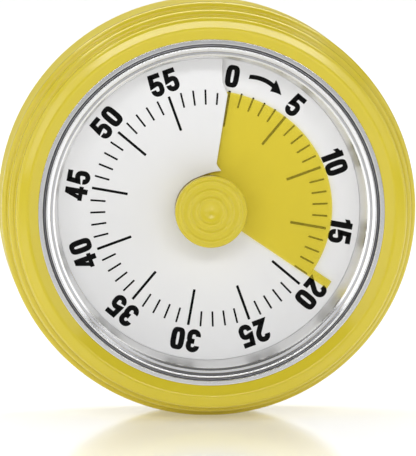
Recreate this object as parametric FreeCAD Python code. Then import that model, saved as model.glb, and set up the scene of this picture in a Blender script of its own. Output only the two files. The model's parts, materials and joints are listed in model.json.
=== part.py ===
import FreeCAD, Part
import math
import os
from FreeCAD import Vector

# A round wind-up kitchen timer for sixty minutes, with a slit dial and a coloured film that threads
# through it. Lengths are in millimetres and angles in degrees.
#
# Every piece is drawn with the timer lying on its back: z = 0 is the back face, +z points at the
# person reading the dial, x is to their right and y is up. Dial angles run clockwise from the zero
# mark, as the minutes do. At the end each piece is stood up on the rim of the case, dial facing -Y.

# ---- case ----
CASE_RADIUS = 40.0
CASE_DEPTH = 30.0
BEAD_COUNT = 3            # rounded steps up the side of the case
BEAD_STEP = 1.22          # each bead is this much smaller in radius, and its shoulder is that round
BEAD_RISE = 5.0           # height of each bead above the first
BACK_CHAMFER = 1.2
FOOT_WIDTH = 6.0          # narrow flat along the rim, on which the timer stands
SHELL_WALL = 2.0
CREST_WIDTH = 0.4
BAND_WIDTH = 2.59         # front band of the case, from the crest to the bezel ring
BAND_DROP = 1.3           # fall of that band towards the ring
WEB_THICK = 1.5           # floor of the dial well
WEB_CLEARANCE = 1.4       # round the knob's stem
BOSS_RADIUS = 3.0
BOSS_BITE = 0.3           # a boss merges this far into the case wall
COVER_SCREW_ANGLES = (90.0, 210.0, 330.0)
POST_RADIUS = 2.2         # posts under the well, which carry the movement
POST_LENGTH = 1.2

# ---- bezel ring, from its rim inwards ----
RING_SHEET = 0.6
RING_FIT = 0.05
FLANGE_WIDTH = 1.0
GROOVE_WIDTH = 0.6
GROOVE_DEPTH = 0.35
DOME_WIDTH = 1.65         # polished band between the groove and the mouth of the well
DOME_FALL = 1.3
SKIRT_TAPER = 0.7
SKIRT_WALL = 0.4
SKIRT_CLEARANCE = 0.3     # between the skirt and the wall of the well

# ---- dial and film: two screw surfaces of the same pitch, half a pitch apart ----
DIAL_TURN = 10.15         # the round case stands with its zero mark this far to the right of the top
SCREW_PITCH = 1.2
FILM_LIFT = 0.6           # lowest height of the film above the floor of the well
DIAL_SHEET = 0.4
FILM_SHEET = 0.25
FACET = 6.0               # both sheets are faceted once a minute
DIAL_CLEARANCE = 0.15
GLUE_LINE = 0.05          # between the dial and the ramped ring that it is glued to
COLLAR_GAP = 1.1          # from the film's collar to the hole in the dial
DIAL_TUCK = 8.0           # the low edge runs this far under the raised lip
LIP_SETBACK = 1.0         # the raised lip stops this far short of the zero mark
TONGUE_WIDTH = 1.7        # small tongue of the lip beside the hole
TONGUE_REACH = 8.5
HOLLOW_REACH = 30.0       # the hole widens over this angle before the tongue
HOLLOW_DEPTH = 1.2
NOTCH_INSET = 0.8         # the lip's notch starts this far inside the film's edge
NOTCH_RUN = 2.3           # radial length of the notch's slanting side
NOTCH_CORNER_ANGLE = 4.2
NOTCH_RIM_ANGLE = 5.1
SEAT_WIDTH = 5.0          # ramped ring under the rim of the dial
SEAT_GAP = 2.0            # break in that ring, below the lip
SET_MINUTES = 19.0        # the timer is at rest with this much time left
FILM_MARGIN = 1.0         # from the film's edge to the ramped ring
TAB_MARGIN = 1.7          # from the pointer tab to the dial's edge
TAB_WIDTH = 1.64
TAB_ROOT = 1.0            # the tab is joined to the film over this length
COLLAR_RADIUS = 5.5
COLLAR_BELOW = 0.4        # how far the collar reaches past each edge of the film
COLLAR_FIT = 0.05

# ---- knob ----
KNOB_RADIUS = 6.92
KNOB_SINK = 1.5           # the knob's face lies this far below the top of the bezel ring
KNOB_LIFT = 0.55          # its underside clears the film by this much at sixty minutes
KNOB_FOOT_INSET = 1.22
KNOB_RIM = 1.6
KNOB_EDGE = 0.35
KNOB_ROOF = 2.2           # plastic over the end of the arbor
RIDGE_RADII = (2.6, 4.1, 5.8)
RIDGE_HEIGHT = 0.28
RIDGE_WIDTH = 1.1
STEM_RADIUS = 3.2
STEM_END = 0.4            # the stem ends this far below the web

# ---- rear cover, magnets and bell ----
COVER_THICK = 2.0
COVER_CLEARANCE = 0.15
MAGNET_RADIUS = 5.0
MAGNET_THICK = 4.0
MAGNET_COUNT = 3
MAGNET_SPREAD = 26.0
MAGNET_FLOOR = 0.8
MAGNET_FIT = 0.05
MAGNET_WALL = 0.8
MAGNET_RIM = 2.05         # from a magnet's pocket to the edge of the cover
BELL_GAP = 0.6            # between the bell and a magnet's pocket
BELL_SHEET = 0.7
BELL_BACK = 2.8
BELL_DEPTH = 3.6
BELL_CORNER = 1.5
BELL_BOSS_RADIUS = 3.0
SLOT_WIDTH = 1.4
SLOT_COUNT = 3            # sound slots in each fan
SLOT_FIRST = 9.0
SLOT_PITCH = 3.5
SLOT_SWEEP = 64.0
SLOT_FANS = (0.0, 90.0, 180.0)

# ---- movement: plates, pillars and wheel train ----
REAR_PLATE_BOTTOM = 7.4
PLATE_SPACE = 6.2
PLATE_SHEET = 0.8
PLATE_GAP = 1.8           # from the plates to the bosses of the case
PLATE_MARGIN = 3.6        # from the second arbor to the plate's flat edge
PILLAR_INSET = 2.1
PILLAR_OFFSET = 6.5       # each pillar stands this far above or below the middle
PILLAR_RADIUS = 1.5
RIVET_RADIUS = 0.9
FIXING_INSET = 2.6
DRIVER_HOLE_RADIUS = 2.0
ARBOR_RADIUS = 0.8
PIVOT_RADIUS = 0.4
PIVOT_FIT = 0.05
PIVOT_PROUD = 0.3
WINDING_RADIUS = 1.5
WINDING_GAP = 0.3         # from the end of the winding arbor to the bell screw
SHAFT_FIT = 0.05

WHEEL_TEETH = 48
PINION_LEAVES = 8
PRESSURE_ANGLE = 20.0
WHEEL_TOOTH = (0.7, 1.15, 0.8)    # addendum and dedendum in modules, and share of the pitch filled
PINION_LEAF = (0.8, 1.0, 0.75)
GEAR_PLAY = 0.1           # added to each centre distance
GREAT_MODULE = 0.6
SECOND_MODULE = 0.5
THIRD_MODULE = 0.4
WHEEL_SHEET = 0.7
WHEEL_RIM = 1.6           # metal left outside the windows of a wheel
WHEEL_HUB = 3.0           # metal left round its bore
GREAT_LIFT = 0.7          # height of each wheel above the rear plate
SECOND_LIFT = 2.7
THIRD_GAP = 0.2           # from the escape pinion to the balance wheel
PINION_OVERHANG = 0.2     # a pinion stands this much beyond the wheel it meshes with
SECOND_BEARING = 270.0    # direction from each arbor to the next, counterclockwise from +x
THIRD_BEARING = 22.0
ESCAPE_BEARING = 66.0
BALANCE_BEARING = 104.0

ESCAPE_TEETH = 15
ESCAPE_RADIUS = 4.9
ESCAPE_TOOTH = 1.2
PIN_RADIUS = 0.35
PIN_GAP = 0.15            # pallet pins clear the teeth by this much when the verge is level
BALANCE_ARBOR_GAP = 0.5   # from the balance wheel to the escape arbor
VERGE_SHEET = 0.6
VERGE_GAP = 0.3
VERGE_HUB = 0.8
BALANCE_GAP = 0.3         # from the balance wheel to the front plate
BALANCE_SHEET = 0.6
BALANCE_RADIUS = 5.6
BALANCE_RIM = 1.1
BALANCE_ARM = 1.4

CAM_LIFT = 4.1
CAM_THICK = 0.9
CAM_RADIUS = 6.2
CAM_NOTCH = 1.8
WASHER_RADIUS = 3.6
WASHER_THICK = 0.6
WASHER_LIFT = 2.4
SPRING_WASHER_SHEET = 0.25
CAM_STEPS = 36            # straight sides of the snail cam

MAIN_SPRING_SHEET = 0.35
MAIN_SPRING_PITCH = 1.25
MAIN_SPRING_TURNS = 6.5
MAIN_SPRING_CLEARANCE = 0.9
MAIN_SPRING_FLOOR = 0.9   # above the inside of the bell
MAIN_SPRING_GAP = 0.6     # from the main spring to the rear plate
SPRING_POST_RADIUS = 0.8

HAMMER_INSET = 2.9        # from the outside of the bell to the hammer's pin
HAMMER_PIN_RADIUS = 0.8
HAMMER_PIN_BEARING = 148.5
HAMMER_HEAD_BEARING = 175.0
HAMMER_HEAD_RADIUS = 1.6
HAMMER_HEAD_HEIGHT = 2.0
HAMMER_GAP = 0.45         # from the hammer head to the bell
HAMMER_SHEET = 0.8
HAMMER_ARM_WIDTH = 2.0
HAMMER_ARM_LIFT = 1.5     # above the inside of the bell
HAMMER_HUB_RADIUS = 1.8
FINGER_GAP = 0.4          # from the finger to the cam

# ---- screws ----
SCREW_HEAD_HEIGHT = 0.9
COVER_SCREW_SHANK = 1.0
COVER_SCREW_HEAD = 1.9
COVER_SCREW_LENGTH = 8.0
MOVEMENT_SCREW_SHANK = 0.75
MOVEMENT_SCREW_HEAD = 1.6
MOVEMENT_SCREW_LENGTH = 2.6
PLATE_SCREW_SHANK = 0.6
PLATE_SCREW_HEAD = 1.3
PLATE_SCREW_LENGTH = 2.6
BELL_SCREW_SHANK = 0.8
BELL_SCREW_HEAD = 1.8
BELL_SCREW_LENGTH = 2.2
HOLE_CLEARANCE = 0.1

UP = Vector(0, 0, 1)
ORIGIN = Vector(0, 0, 0)

# ---- radii of the front, worked inwards from the case ----
AXIS_HEIGHT = math.sqrt(CASE_RADIUS ** 2 - (FOOT_WIDTH / 2) ** 2)    # above the foot
WALL_INSIDE = CASE_RADIUS - SHELL_WALL
CREST_RADIUS = CASE_RADIUS - BEAD_COUNT * BEAD_STEP
RING_RADIUS = CREST_RADIUS - CREST_WIDTH - BAND_WIDTH - RING_FIT
GROOVE_OUTER = RING_RADIUS - FLANGE_WIDTH
GROOVE_INNER = GROOVE_OUTER - GROOVE_WIDTH
MOUTH_RADIUS = GROOVE_INNER - DOME_WIDTH
SKIRT_FOOT = MOUTH_RADIUS - SKIRT_TAPER
WELL_RADIUS = MOUTH_RADIUS + SKIRT_WALL + SKIRT_CLEARANCE
DIAL_RADIUS = SKIRT_FOOT - DIAL_CLEARANCE
SEAT_INSIDE = DIAL_RADIUS - SEAT_WIDTH
FILM_RADIUS = SEAT_INSIDE - FILM_MARGIN
TAB_RADIUS = DIAL_RADIUS - TAB_MARGIN
DIAL_HOLE_RADIUS = COLLAR_RADIUS + COLLAR_GAP

# ---- heights, worked down from the front and up from the back ----
RING_TOP = CASE_DEPTH - BAND_DROP
RING_SEAT = RING_TOP - RING_SHEET
MOUTH_TOP = RING_TOP - DOME_FALL
MOAT_ROOF = RING_SEAT - SHELL_WALL
BOSS_TOP = CASE_DEPTH - (BEAD_COUNT - 1) * BEAD_RISE
REAR_PLATE_TOP = REAR_PLATE_BOTTOM + PLATE_SHEET
FRONT_PLATE_BOTTOM = REAR_PLATE_TOP + PLATE_SPACE
FRONT_PLATE_TOP = FRONT_PLATE_BOTTOM + PLATE_SHEET
WEB_BOTTOM = FRONT_PLATE_TOP + POST_LENGTH
WEB_TOP = WEB_BOTTOM + WEB_THICK
SCREW_BASE = WEB_TOP + FILM_LIFT
KNOB_FACE = RING_TOP - KNOB_SINK
KNOB_UNDERSIDE = SCREW_BASE + 2 * SCREW_PITCH + FILM_SHEET / 2 + KNOB_LIFT
KNOB_SOCKET_TOP = KNOB_FACE - KNOB_ROOF
GREAT_BOTTOM = REAR_PLATE_TOP + GREAT_LIFT
SECOND_BOTTOM = REAR_PLATE_TOP + SECOND_LIFT
BALANCE_BOTTOM = FRONT_PLATE_BOTTOM - BALANCE_GAP - BALANCE_SHEET
THIRD_BOTTOM = BALANCE_BOTTOM - THIRD_GAP - PINION_OVERHANG - WHEEL_SHEET
CAM_BOTTOM = REAR_PLATE_TOP + CAM_LIFT
WASHER_BOTTOM = REAR_PLATE_TOP + WASHER_LIFT
BELL_FLOOR = BELL_BACK + BELL_SHEET
MAIN_SPRING_BOTTOM = BELL_FLOOR + MAIN_SPRING_FLOOR
MAIN_SPRING_TOP = REAR_PLATE_BOTTOM - MAIN_SPRING_GAP
WINDING_END = BELL_FLOOR + SCREW_HEAD_HEIGHT + WINDING_GAP
HAMMER_ARM_BOTTOM = BELL_FLOOR + HAMMER_ARM_LIFT

# ---- places behind the dial, worked inwards from the case ----
COVER_RADIUS = WALL_INSIDE - COVER_CLEARANCE
COVER_SCREW_CIRCLE = WALL_INSIDE + BOSS_BITE - BOSS_RADIUS
POCKET_RADIUS = MAGNET_RADIUS + MAGNET_FIT + MAGNET_WALL
MAGNET_CIRCLE = COVER_RADIUS - MAGNET_RIM - POCKET_RADIUS
BELL_RADIUS = MAGNET_CIRCLE - POCKET_RADIUS - BELL_GAP
PLATE_RADIUS = COVER_SCREW_CIRCLE - BOSS_RADIUS - PLATE_GAP
SET_ANGLE = 360.0 * SET_MINUTES / 60.0


def polar(radius, angle, centre=(0.0, 0.0)):
    """Point (x, y) at a radius and a counterclockwise angle from +x about a centre."""
    turn = math.radians(angle)
    return centre[0] + radius * math.cos(turn), centre[1] + radius * math.sin(turn)


def clock(angle):
    """Counterclockwise angle from +x of a dial angle, which runs clockwise from the zero mark."""
    return 90.0 - DIAL_TURN - angle


def rounded(centre, radius, start, end):
    """Outline item: an arc of a given radius about a centre, as its middle point and its end point."""
    return polar(radius, (start + end) / 2, centre), polar(radius, end, centre)


def turned(outline):
    """Solid turned about the z axis from a closed outline of (r, z) points and rounded() items.

    The outline may run either way round; the wire always runs clockwise, which turns the skin outwards.
    """
    spans, area = [], 0.0
    here = Vector(outline[0][0], 0, outline[0][1])
    for item in outline[1:] + [outline[0]]:
        middle, end = item if isinstance(item[0], tuple) else (None, item)
        there = Vector(end[0], 0, end[1])
        area += here.x * there.z - there.x * here.z
        spans.append((here, middle and Vector(middle[0], 0, middle[1]), there))
        here = there
    if area > 0:
        spans = [(end, middle, start) for start, middle, end in reversed(spans)]
    edges = [Part.Arc(start, middle, end).toShape() if middle else Part.makeLine(start, end)
             for start, middle, end in spans]
    return Part.Face(Part.Wire(edges)).revolve(ORIGIN, UP, 360)


def rod(radius, bottom, top, at=(0.0, 0.0)):
    return Part.makeCylinder(radius, top - bottom, Vector(at[0], at[1], bottom))


def tube(outer, inner, bottom, top, at=(0.0, 0.0)):
    return rod(outer, bottom, top, at).cut(rod(inner, bottom, top, at))


def plate(points, bottom, top):
    """Flat plate of a closed outline of (x, y) points."""
    corners = [Vector(x, y, bottom) for x, y in points]
    return Part.Face(Part.makePolygon(corners + corners[:1])).extrude(UP * (top - bottom))


def bar(start, end, width, bottom, top):
    """Flat bar with round ends from one (x, y) point to another."""
    heading = math.atan2(end[1] - start[1], end[0] - start[0])
    side_x, side_y = -math.sin(heading) * width / 2, math.cos(heading) * width / 2
    corners = ((start[0] + side_x, start[1] + side_y), (start[0] - side_x, start[1] - side_y),
               (end[0] - side_x, end[1] - side_y), (end[0] + side_x, end[1] + side_y))
    ends = [rod(width / 2, bottom, top, point) for point in (start, end)]
    return plate(corners, bottom, top).multiFuse(ends).removeSplitter()


def screw(shank, head, length, at, seat, up):
    """Plain screw whose head rests on the height `seat`; `up` is 1 if its shank points to +z, else -1."""
    head_end = seat - up * SCREW_HEAD_HEIGHT
    low, high = sorted((seat, head_end))
    head_solid = rod(head, low, high, at)
    low, high = sorted((seat, seat + up * length))
    return head_solid.fuse(rod(shank, low, high, at)).removeSplitter()


def group(solids):
    return Part.makeCompound(solids)


# ---- the screw surfaces of the dial ----

def screw_height(angle):
    """Height of the film's screw surface at an unrolled dial angle."""
    return SCREW_BASE + SCREW_PITCH * angle / 360.0


def ramp(inner, outer, start, end, bottom_of, top_of):
    """Solid between two height functions of the dial angle, from start to end, with flat facets.

    Each facet has its inner corners on a circle that its inner edge touches, so a ramp seats on a
    round collar without cutting into it.
    """
    steps = max(1, round((end - start) / FACET))
    step = (end - start) / steps
    inner_corner = inner / math.cos(math.radians(step / 2))
    rows = []
    for count in range(steps + 1):
        angle = start + count * step
        low, high = bottom_of(angle), top_of(angle)
        near, far = polar(inner_corner, clock(angle)), polar(outer, clock(angle))
        rows.append((Vector(*near, low), Vector(*far, low), Vector(*far, high), Vector(*near, high)))
    triangles = []
    for here, there in zip(rows, rows[1:]):
        for side in range(4):
            after = (side + 1) % 4
            triangles.append((here[side], here[after], there[after]))
            triangles.append((here[side], there[after], there[side]))
    for row in (rows[0], rows[-1]):
        triangles.append((row[0], row[1], row[2]))
        triangles.append((row[0], row[2], row[3]))
    faces = [Part.Face(Part.makePolygon([a, b, c, a])) for a, b, c in triangles]
    shell = Part.makeShell(faces)
    shell.sewShape()
    solid = Part.makeSolid(shell)
    if solid.Volume < 0:
        solid.reverse()
    return solid


def sheet(inner, outer, start, end, offset, thick):
    """Sheet of even thickness that follows the screw surface at a fixed offset above it."""
    return ramp(inner, outer, start, end,
                lambda angle: screw_height(angle) + offset - thick / 2,
                lambda angle: screw_height(angle) + offset + thick / 2)


def dial_sheet():
    """One turn of a screw surface: its raised lip overhangs the low edge where the film comes out."""
    lip = 360.0 - LIP_SETBACK
    offset = SCREW_PITCH / 2
    body = sheet(DIAL_HOLE_RADIUS, DIAL_RADIUS, -DIAL_TUCK, lip, offset, DIAL_SHEET)
    tongue = sheet(DIAL_HOLE_RADIUS, DIAL_HOLE_RADIUS + TONGUE_WIDTH, lip, lip + TONGUE_REACH,
                   offset, DIAL_SHEET)
    start = FILM_RADIUS - NOTCH_INSET
    outside = DIAL_RADIUS + SKIRT_WALL
    notch = plate([polar(start, clock(-LIP_SETBACK)),
                   polar(start + NOTCH_RUN, clock(-NOTCH_CORNER_ANGLE)),
                   polar(outside, clock(-NOTCH_RIM_ANGLE)),
                   polar(outside, clock(LIP_SETBACK)),
                   polar(start, clock(LIP_SETBACK))],
                  SCREW_BASE + SCREW_PITCH, SCREW_BASE + 2 * SCREW_PITCH)
    hollow = plate([polar(COLLAR_RADIUS, clock(-HOLLOW_REACH)),
                    polar(DIAL_HOLE_RADIUS, clock(-HOLLOW_REACH)),
                    polar(DIAL_HOLE_RADIUS + HOLLOW_DEPTH, clock(TONGUE_REACH)),
                    polar(COLLAR_RADIUS, clock(TONGUE_REACH))],
                   SCREW_BASE + SCREW_PITCH, SCREW_BASE + 2 * SCREW_PITCH)
    return body.fuse(tongue).cut(group([notch, hollow]))


def dial_seat():
    """Ramped ring glued into the well, which holds the rim of the dial at its slope."""
    offset = SCREW_PITCH / 2 - DIAL_SHEET / 2 - GLUE_LINE
    return ramp(SEAT_INSIDE, DIAL_RADIUS, -DIAL_TUCK, 360.0 - DIAL_TUCK - SEAT_GAP,
                lambda angle: WEB_TOP, lambda angle: screw_height(angle) + offset)


def time_film():
    """One turn of film with a pointer tab at its leading edge."""
    lead = 360.0 + SET_ANGLE
    body = sheet(COLLAR_RADIUS, FILM_RADIUS, lead - 360.0, lead, 0.0, FILM_SHEET)
    tab_sweep = math.degrees(TAB_WIDTH / FILM_RADIUS)
    tab = sheet(FILM_RADIUS - TAB_ROOT, TAB_RADIUS, lead - tab_sweep, lead, 0.0, FILM_SHEET)
    return body.fuse(tab)


def film_collar():
    """Hub of the film: it turns with the knob's stem and climbs along it as the film unrolls."""
    bottom = screw_height(SET_ANGLE) - FILM_SHEET / 2 - COLLAR_BELOW
    top = screw_height(SET_ANGLE + 360.0) + FILM_SHEET / 2 + COLLAR_BELOW
    return tube(COLLAR_RADIUS, STEM_RADIUS + COLLAR_FIT, bottom, top)


# ---- case ----

def bead_outline():
    """Outside of the case from the back edge to the crest, one rounded step for each bead."""
    points = [(CASE_RADIUS - BACK_CHAMFER, 0.0), (CASE_RADIUS, BACK_CHAMFER)]
    for bead in range(BEAD_COUNT):
        radius = CASE_RADIUS - bead * BEAD_STEP
        top = CASE_DEPTH - (BEAD_COUNT - 1 - bead) * BEAD_RISE
        points.append((radius, top - BEAD_STEP))
        points.append(rounded((radius - BEAD_STEP, top - BEAD_STEP), BEAD_STEP, 0, 90))
    return points


def shell_hollow():
    """Space inside the case wall, from the rear opening up to the roof of the moat round the well."""
    points = [(0.0, 0.0)]
    for bead in range(BEAD_COUNT):
        radius = WALL_INSIDE - bead * BEAD_STEP
        top = CASE_DEPTH - (BEAD_COUNT - 1 - bead) * BEAD_RISE - SHELL_WALL
        points.append((radius, points[-1][1]))
        points.append((radius, min(top, MOAT_ROOF)))
    well_wall = WELL_RADIUS + SHELL_WALL
    points += [(well_wall, points[-1][1]), (well_wall, WEB_BOTTOM), (0.0, WEB_BOTTOM)]
    return turned(points)


def front_shell():
    seat_radius = RING_RADIUS + RING_FIT
    blank = turned([(0.0, 0.0)] + bead_outline() + [(CREST_RADIUS - CREST_WIDTH, CASE_DEPTH),
                   (seat_radius, RING_TOP), (0.0, RING_TOP)])
    body = blank.cut(group([rod(seat_radius, RING_SEAT, CASE_DEPTH), rod(WELL_RADIUS, WEB_TOP, CASE_DEPTH),
                            rod(STEM_RADIUS + WEB_CLEARANCE, WEB_BOTTOM, WEB_TOP)])).cut(shell_hollow())
    bosses, holes = [], []
    for angle in COVER_SCREW_ANGLES:
        at = polar(COVER_SCREW_CIRCLE, angle)
        bosses.append(rod(BOSS_RADIUS, COVER_THICK, BOSS_TOP, at))
        holes.append(rod(COVER_SCREW_SHANK, 0.0, COVER_THICK + COVER_SCREW_LENGTH, at))
    for at in fixings():
        bosses.append(rod(POST_RADIUS, FRONT_PLATE_TOP, WEB_BOTTOM, at))
        holes.append(rod(MOVEMENT_SCREW_SHANK, FRONT_PLATE_BOTTOM,
                         FRONT_PLATE_BOTTOM + MOVEMENT_SCREW_LENGTH, at))
    ground = Part.makeBox(2 * FOOT_WIDTH, FOOT_WIDTH, CASE_DEPTH,
                          Vector(-FOOT_WIDTH, -AXIS_HEIGHT - FOOT_WIDTH, 0))
    return body.multiFuse(bosses).cut(group(holes + [ground]))


def bezel_ring():
    """Pressed metal ring: flat flange, groove, domed band and a tapering skirt down to the dial."""
    outside = MOUTH_RADIUS + SKIRT_WALL
    blank = turned([(0.0, WEB_TOP), (SKIRT_FOOT + SKIRT_WALL, WEB_TOP), (outside, MOUTH_TOP - SKIRT_WALL),
                    (outside, RING_SEAT), (RING_RADIUS, RING_SEAT), (RING_RADIUS, RING_TOP),
                    (0.0, RING_TOP)])
    dome = ((GROOVE_INNER + MOUTH_RADIUS) / 2, RING_TOP - DOME_FALL / 3)
    bore = turned([(0.0, WEB_TOP), (SKIRT_FOOT, WEB_TOP), (MOUTH_RADIUS, MOUTH_TOP),
                   (dome, (GROOVE_INNER, RING_TOP)), (GROOVE_INNER, CASE_DEPTH), (0.0, CASE_DEPTH)])
    groove = turned([(GROOVE_INNER, CASE_DEPTH), (GROOVE_INNER, RING_TOP),
                     ((GROOVE_INNER + GROOVE_OUTER) / 2, RING_TOP - GROOVE_DEPTH),
                     (GROOVE_OUTER, RING_TOP), (GROOVE_OUTER, CASE_DEPTH)])
    return blank.cut(bore).cut(groove)


def rear_cover():
    disc = rod(COVER_RADIUS, 0.0, COVER_THICK)
    added = [rod(BELL_BOSS_RADIUS, COVER_THICK, BELL_BACK)]
    removed = [rod(BELL_SCREW_SHANK, BELL_FLOOR - BELL_SCREW_LENGTH, BELL_BACK)]
    for at in magnet_places():
        added.append(rod(POCKET_RADIUS, COVER_THICK, MAGNET_FLOOR + MAGNET_THICK, at))
        removed.append(rod(MAGNET_RADIUS + MAGNET_FIT, MAGNET_FLOOR, MAGNET_FLOOR + MAGNET_THICK, at))
    for angle in COVER_SCREW_ANGLES:
        at = polar(COVER_SCREW_CIRCLE, angle)
        removed.append(rod(COVER_SCREW_SHANK + HOLE_CLEARANCE, 0.0, COVER_THICK, at))
        removed.append(rod(COVER_SCREW_HEAD + HOLE_CLEARANCE, 0.0, SCREW_HEAD_HEIGHT, at))
    for count in range(SLOT_COUNT):
        for middle in SLOT_FANS:
            removed.append(sound_slot(SLOT_FIRST + count * SLOT_PITCH, middle))
    return disc.multiFuse(added).cut(group(removed))


def sound_slot(radius, middle):
    """Curved slot through the rear cover, of even width with square ends."""
    turn = FreeCAD.Rotation(UP, middle - SLOT_SWEEP / 2)
    outline = [Vector(radius - SLOT_WIDTH / 2, 0, 0), Vector(radius + SLOT_WIDTH / 2, 0, 0),
               Vector(radius + SLOT_WIDTH / 2, 0, COVER_THICK),
               Vector(radius - SLOT_WIDTH / 2, 0, COVER_THICK)]
    slot = Part.Face(Part.makePolygon(outline + outline[:1])).revolve(ORIGIN, UP, SLOT_SWEEP)
    slot.Placement = FreeCAD.Placement(ORIGIN, turn)
    return slot


def magnet_places():
    """Magnets sit side by side at the foot of the cover, where their weight steadies the round case."""
    first = 270.0 - MAGNET_SPREAD * (MAGNET_COUNT - 1) / 2
    return [polar(MAGNET_CIRCLE, first + count * MAGNET_SPREAD) for count in range(MAGNET_COUNT)]


def magnets():
    return group([rod(MAGNET_RADIUS, MAGNET_FLOOR, MAGNET_FLOOR + MAGNET_THICK, at)
                  for at in magnet_places()])


def cover_screws():
    return group([screw(COVER_SCREW_SHANK, COVER_SCREW_HEAD, COVER_SCREW_LENGTH,
                        polar(COVER_SCREW_CIRCLE, angle), SCREW_HEAD_HEIGHT, 1)
                  for angle in COVER_SCREW_ANGLES])


def bell():
    """Shallow steel cup, open towards the movement."""
    rim = BELL_BACK + BELL_DEPTH
    corner = (BELL_RADIUS - BELL_CORNER, BELL_BACK + BELL_CORNER)
    cup = turned([(0.0, BELL_BACK), (BELL_RADIUS - BELL_CORNER, BELL_BACK),
                  rounded(corner, BELL_CORNER, -90, 0), (BELL_RADIUS, rim), (0.0, rim)])
    inner = BELL_CORNER - BELL_SHEET
    room = turned([(0.0, BELL_BACK + BELL_SHEET), (BELL_RADIUS - BELL_CORNER, BELL_BACK + BELL_SHEET),
                   rounded(corner, inner, -90, 0), (BELL_RADIUS - BELL_SHEET, rim), (0.0, rim)])
    return cup.cut(room).cut(rod(BELL_SCREW_SHANK + HOLE_CLEARANCE, BELL_BACK, rim))


def bell_screw():
    return screw(BELL_SCREW_SHANK, BELL_SCREW_HEAD, BELL_SCREW_LENGTH, (0.0, 0.0),
                 BELL_BACK + BELL_SHEET, -1)


# ---- knob ----

def knob():
    """Round knob with concentric ridges on its face, undercut below its rim, and a long stem."""
    outline = [(0.0, KNOB_FACE - RIDGE_HEIGHT)]
    for radius in RIDGE_RADII:
        inner, outer = radius - RIDGE_WIDTH / 2, radius + RIDGE_WIDTH / 2
        floor = KNOB_FACE - RIDGE_HEIGHT
        outline += [(inner, floor), ((radius, KNOB_FACE), (outer, floor))]
    outline += [(KNOB_RADIUS - KNOB_EDGE, KNOB_FACE - RIDGE_HEIGHT),
                (KNOB_RADIUS, KNOB_FACE - RIDGE_HEIGHT - KNOB_EDGE), (KNOB_RADIUS, KNOB_FACE - KNOB_RIM),
                (KNOB_RADIUS - KNOB_FOOT_INSET, KNOB_UNDERSIDE), (STEM_RADIUS, KNOB_UNDERSIDE),
                (STEM_RADIUS, WEB_BOTTOM - STEM_END), (WINDING_RADIUS, WEB_BOTTOM - STEM_END),
                (WINDING_RADIUS, KNOB_SOCKET_TOP), (0.0, KNOB_SOCKET_TOP)]
    return turned(outline)


def winding_arbor():
    return rod(WINDING_RADIUS, WINDING_END, KNOB_SOCKET_TOP)


# ---- gears ----

def involute(angle):
    return math.tan(angle) - angle


def half_tooth(radius, pitch_radius, teeth, fill):
    """Half the angle, in degrees, that an involute tooth fills at a radius."""
    pressure = math.radians(PRESSURE_ANGLE)
    base = pitch_radius * math.cos(pressure)
    reach = max(radius, base)
    spread = involute(pressure) - involute(math.acos(base / reach))
    return 90.0 / teeth * fill + math.degrees(spread)


def gear(teeth, module, tooth_form, bottom, top, at, phase, flank_steps):
    """Spur gear whose tooth number zero points in the direction `phase`."""
    addendum, dedendum, fill = tooth_form
    pitch_radius = teeth * module / 2
    radii = [pitch_radius - dedendum * module + (addendum + dedendum) * module * count / flank_steps
             for count in range(flank_steps + 1)]
    points = []
    for tooth in range(teeth):
        middle = phase + tooth * 360.0 / teeth
        rising = [(radius, -half_tooth(radius, pitch_radius, teeth, fill)) for radius in radii]
        falling = [(radius, -side) for radius, side in reversed(rising)]
        points += [polar(radius, middle + side, at) for radius, side in rising + falling]
    return plate(points, bottom, top)


def wheel(module, bottom, at, phase, bore, windows):
    """Train wheel with shortened teeth, a bore and round windows between its hub and its rim."""
    top = bottom + WHEEL_SHEET
    solid = gear(WHEEL_TEETH, module, WHEEL_TOOTH, bottom, top, at, phase, 1)
    outer = (WHEEL_TEETH / 2 - WHEEL_TOOTH[1]) * module - WHEEL_RIM
    inner = bore + WHEEL_HUB
    holes = [rod(bore, bottom, top, at)]
    for count in range(windows):
        middle = polar((outer + inner) / 2, phase + 360.0 * count / windows, at)
        holes.append(rod((outer - inner) / 2, bottom, top, middle))
    return solid.cut(group(holes))


def pinion(module, mate_bottom, at, bearing):
    """Pinion cut from its arbor: a gap faces the wheel tooth that points along the bearing."""
    leaf_phase = bearing + 180.0 + 180.0 / PINION_LEAVES
    return gear(PINION_LEAVES, module, PINION_LEAF, mate_bottom - PINION_OVERHANG,
                mate_bottom + WHEEL_SHEET + PINION_OVERHANG, at, leaf_phase, 2)


def arbor(at, parts):
    """Arbor between the plates with a pivot at each end, fused with the pinion cut on it."""
    low, high = REAR_PLATE_TOP + PIVOT_PROUD, FRONT_PLATE_BOTTOM - PIVOT_PROUD
    ends = rod(PIVOT_RADIUS, REAR_PLATE_BOTTOM - PIVOT_PROUD, FRONT_PLATE_TOP + PIVOT_PROUD, at)
    return ends.multiFuse([rod(ARBOR_RADIUS, low, high, at)] + parts).removeSplitter()


def centre_distance(module):
    return (WHEEL_TEETH + PINION_LEAVES) * module / 2 + GEAR_PLAY


WINDING_AT = (0.0, 0.0)
SECOND_AT = polar(centre_distance(GREAT_MODULE), SECOND_BEARING, WINDING_AT)
THIRD_AT = polar(centre_distance(SECOND_MODULE), THIRD_BEARING, SECOND_AT)
ESCAPE_AT = polar(centre_distance(THIRD_MODULE), ESCAPE_BEARING, THIRD_AT)
BALANCE_DISTANCE = BALANCE_RADIUS + ARBOR_RADIUS + BALANCE_ARBOR_GAP
BALANCE_AT = polar(BALANCE_DISTANCE, BALANCE_BEARING, ESCAPE_AT)
TRAIN_ARBORS = (SECOND_AT, THIRD_AT, ESCAPE_AT, BALANCE_AT)
HAMMER_AT = polar(BELL_RADIUS - HAMMER_INSET, HAMMER_PIN_BEARING)


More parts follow.
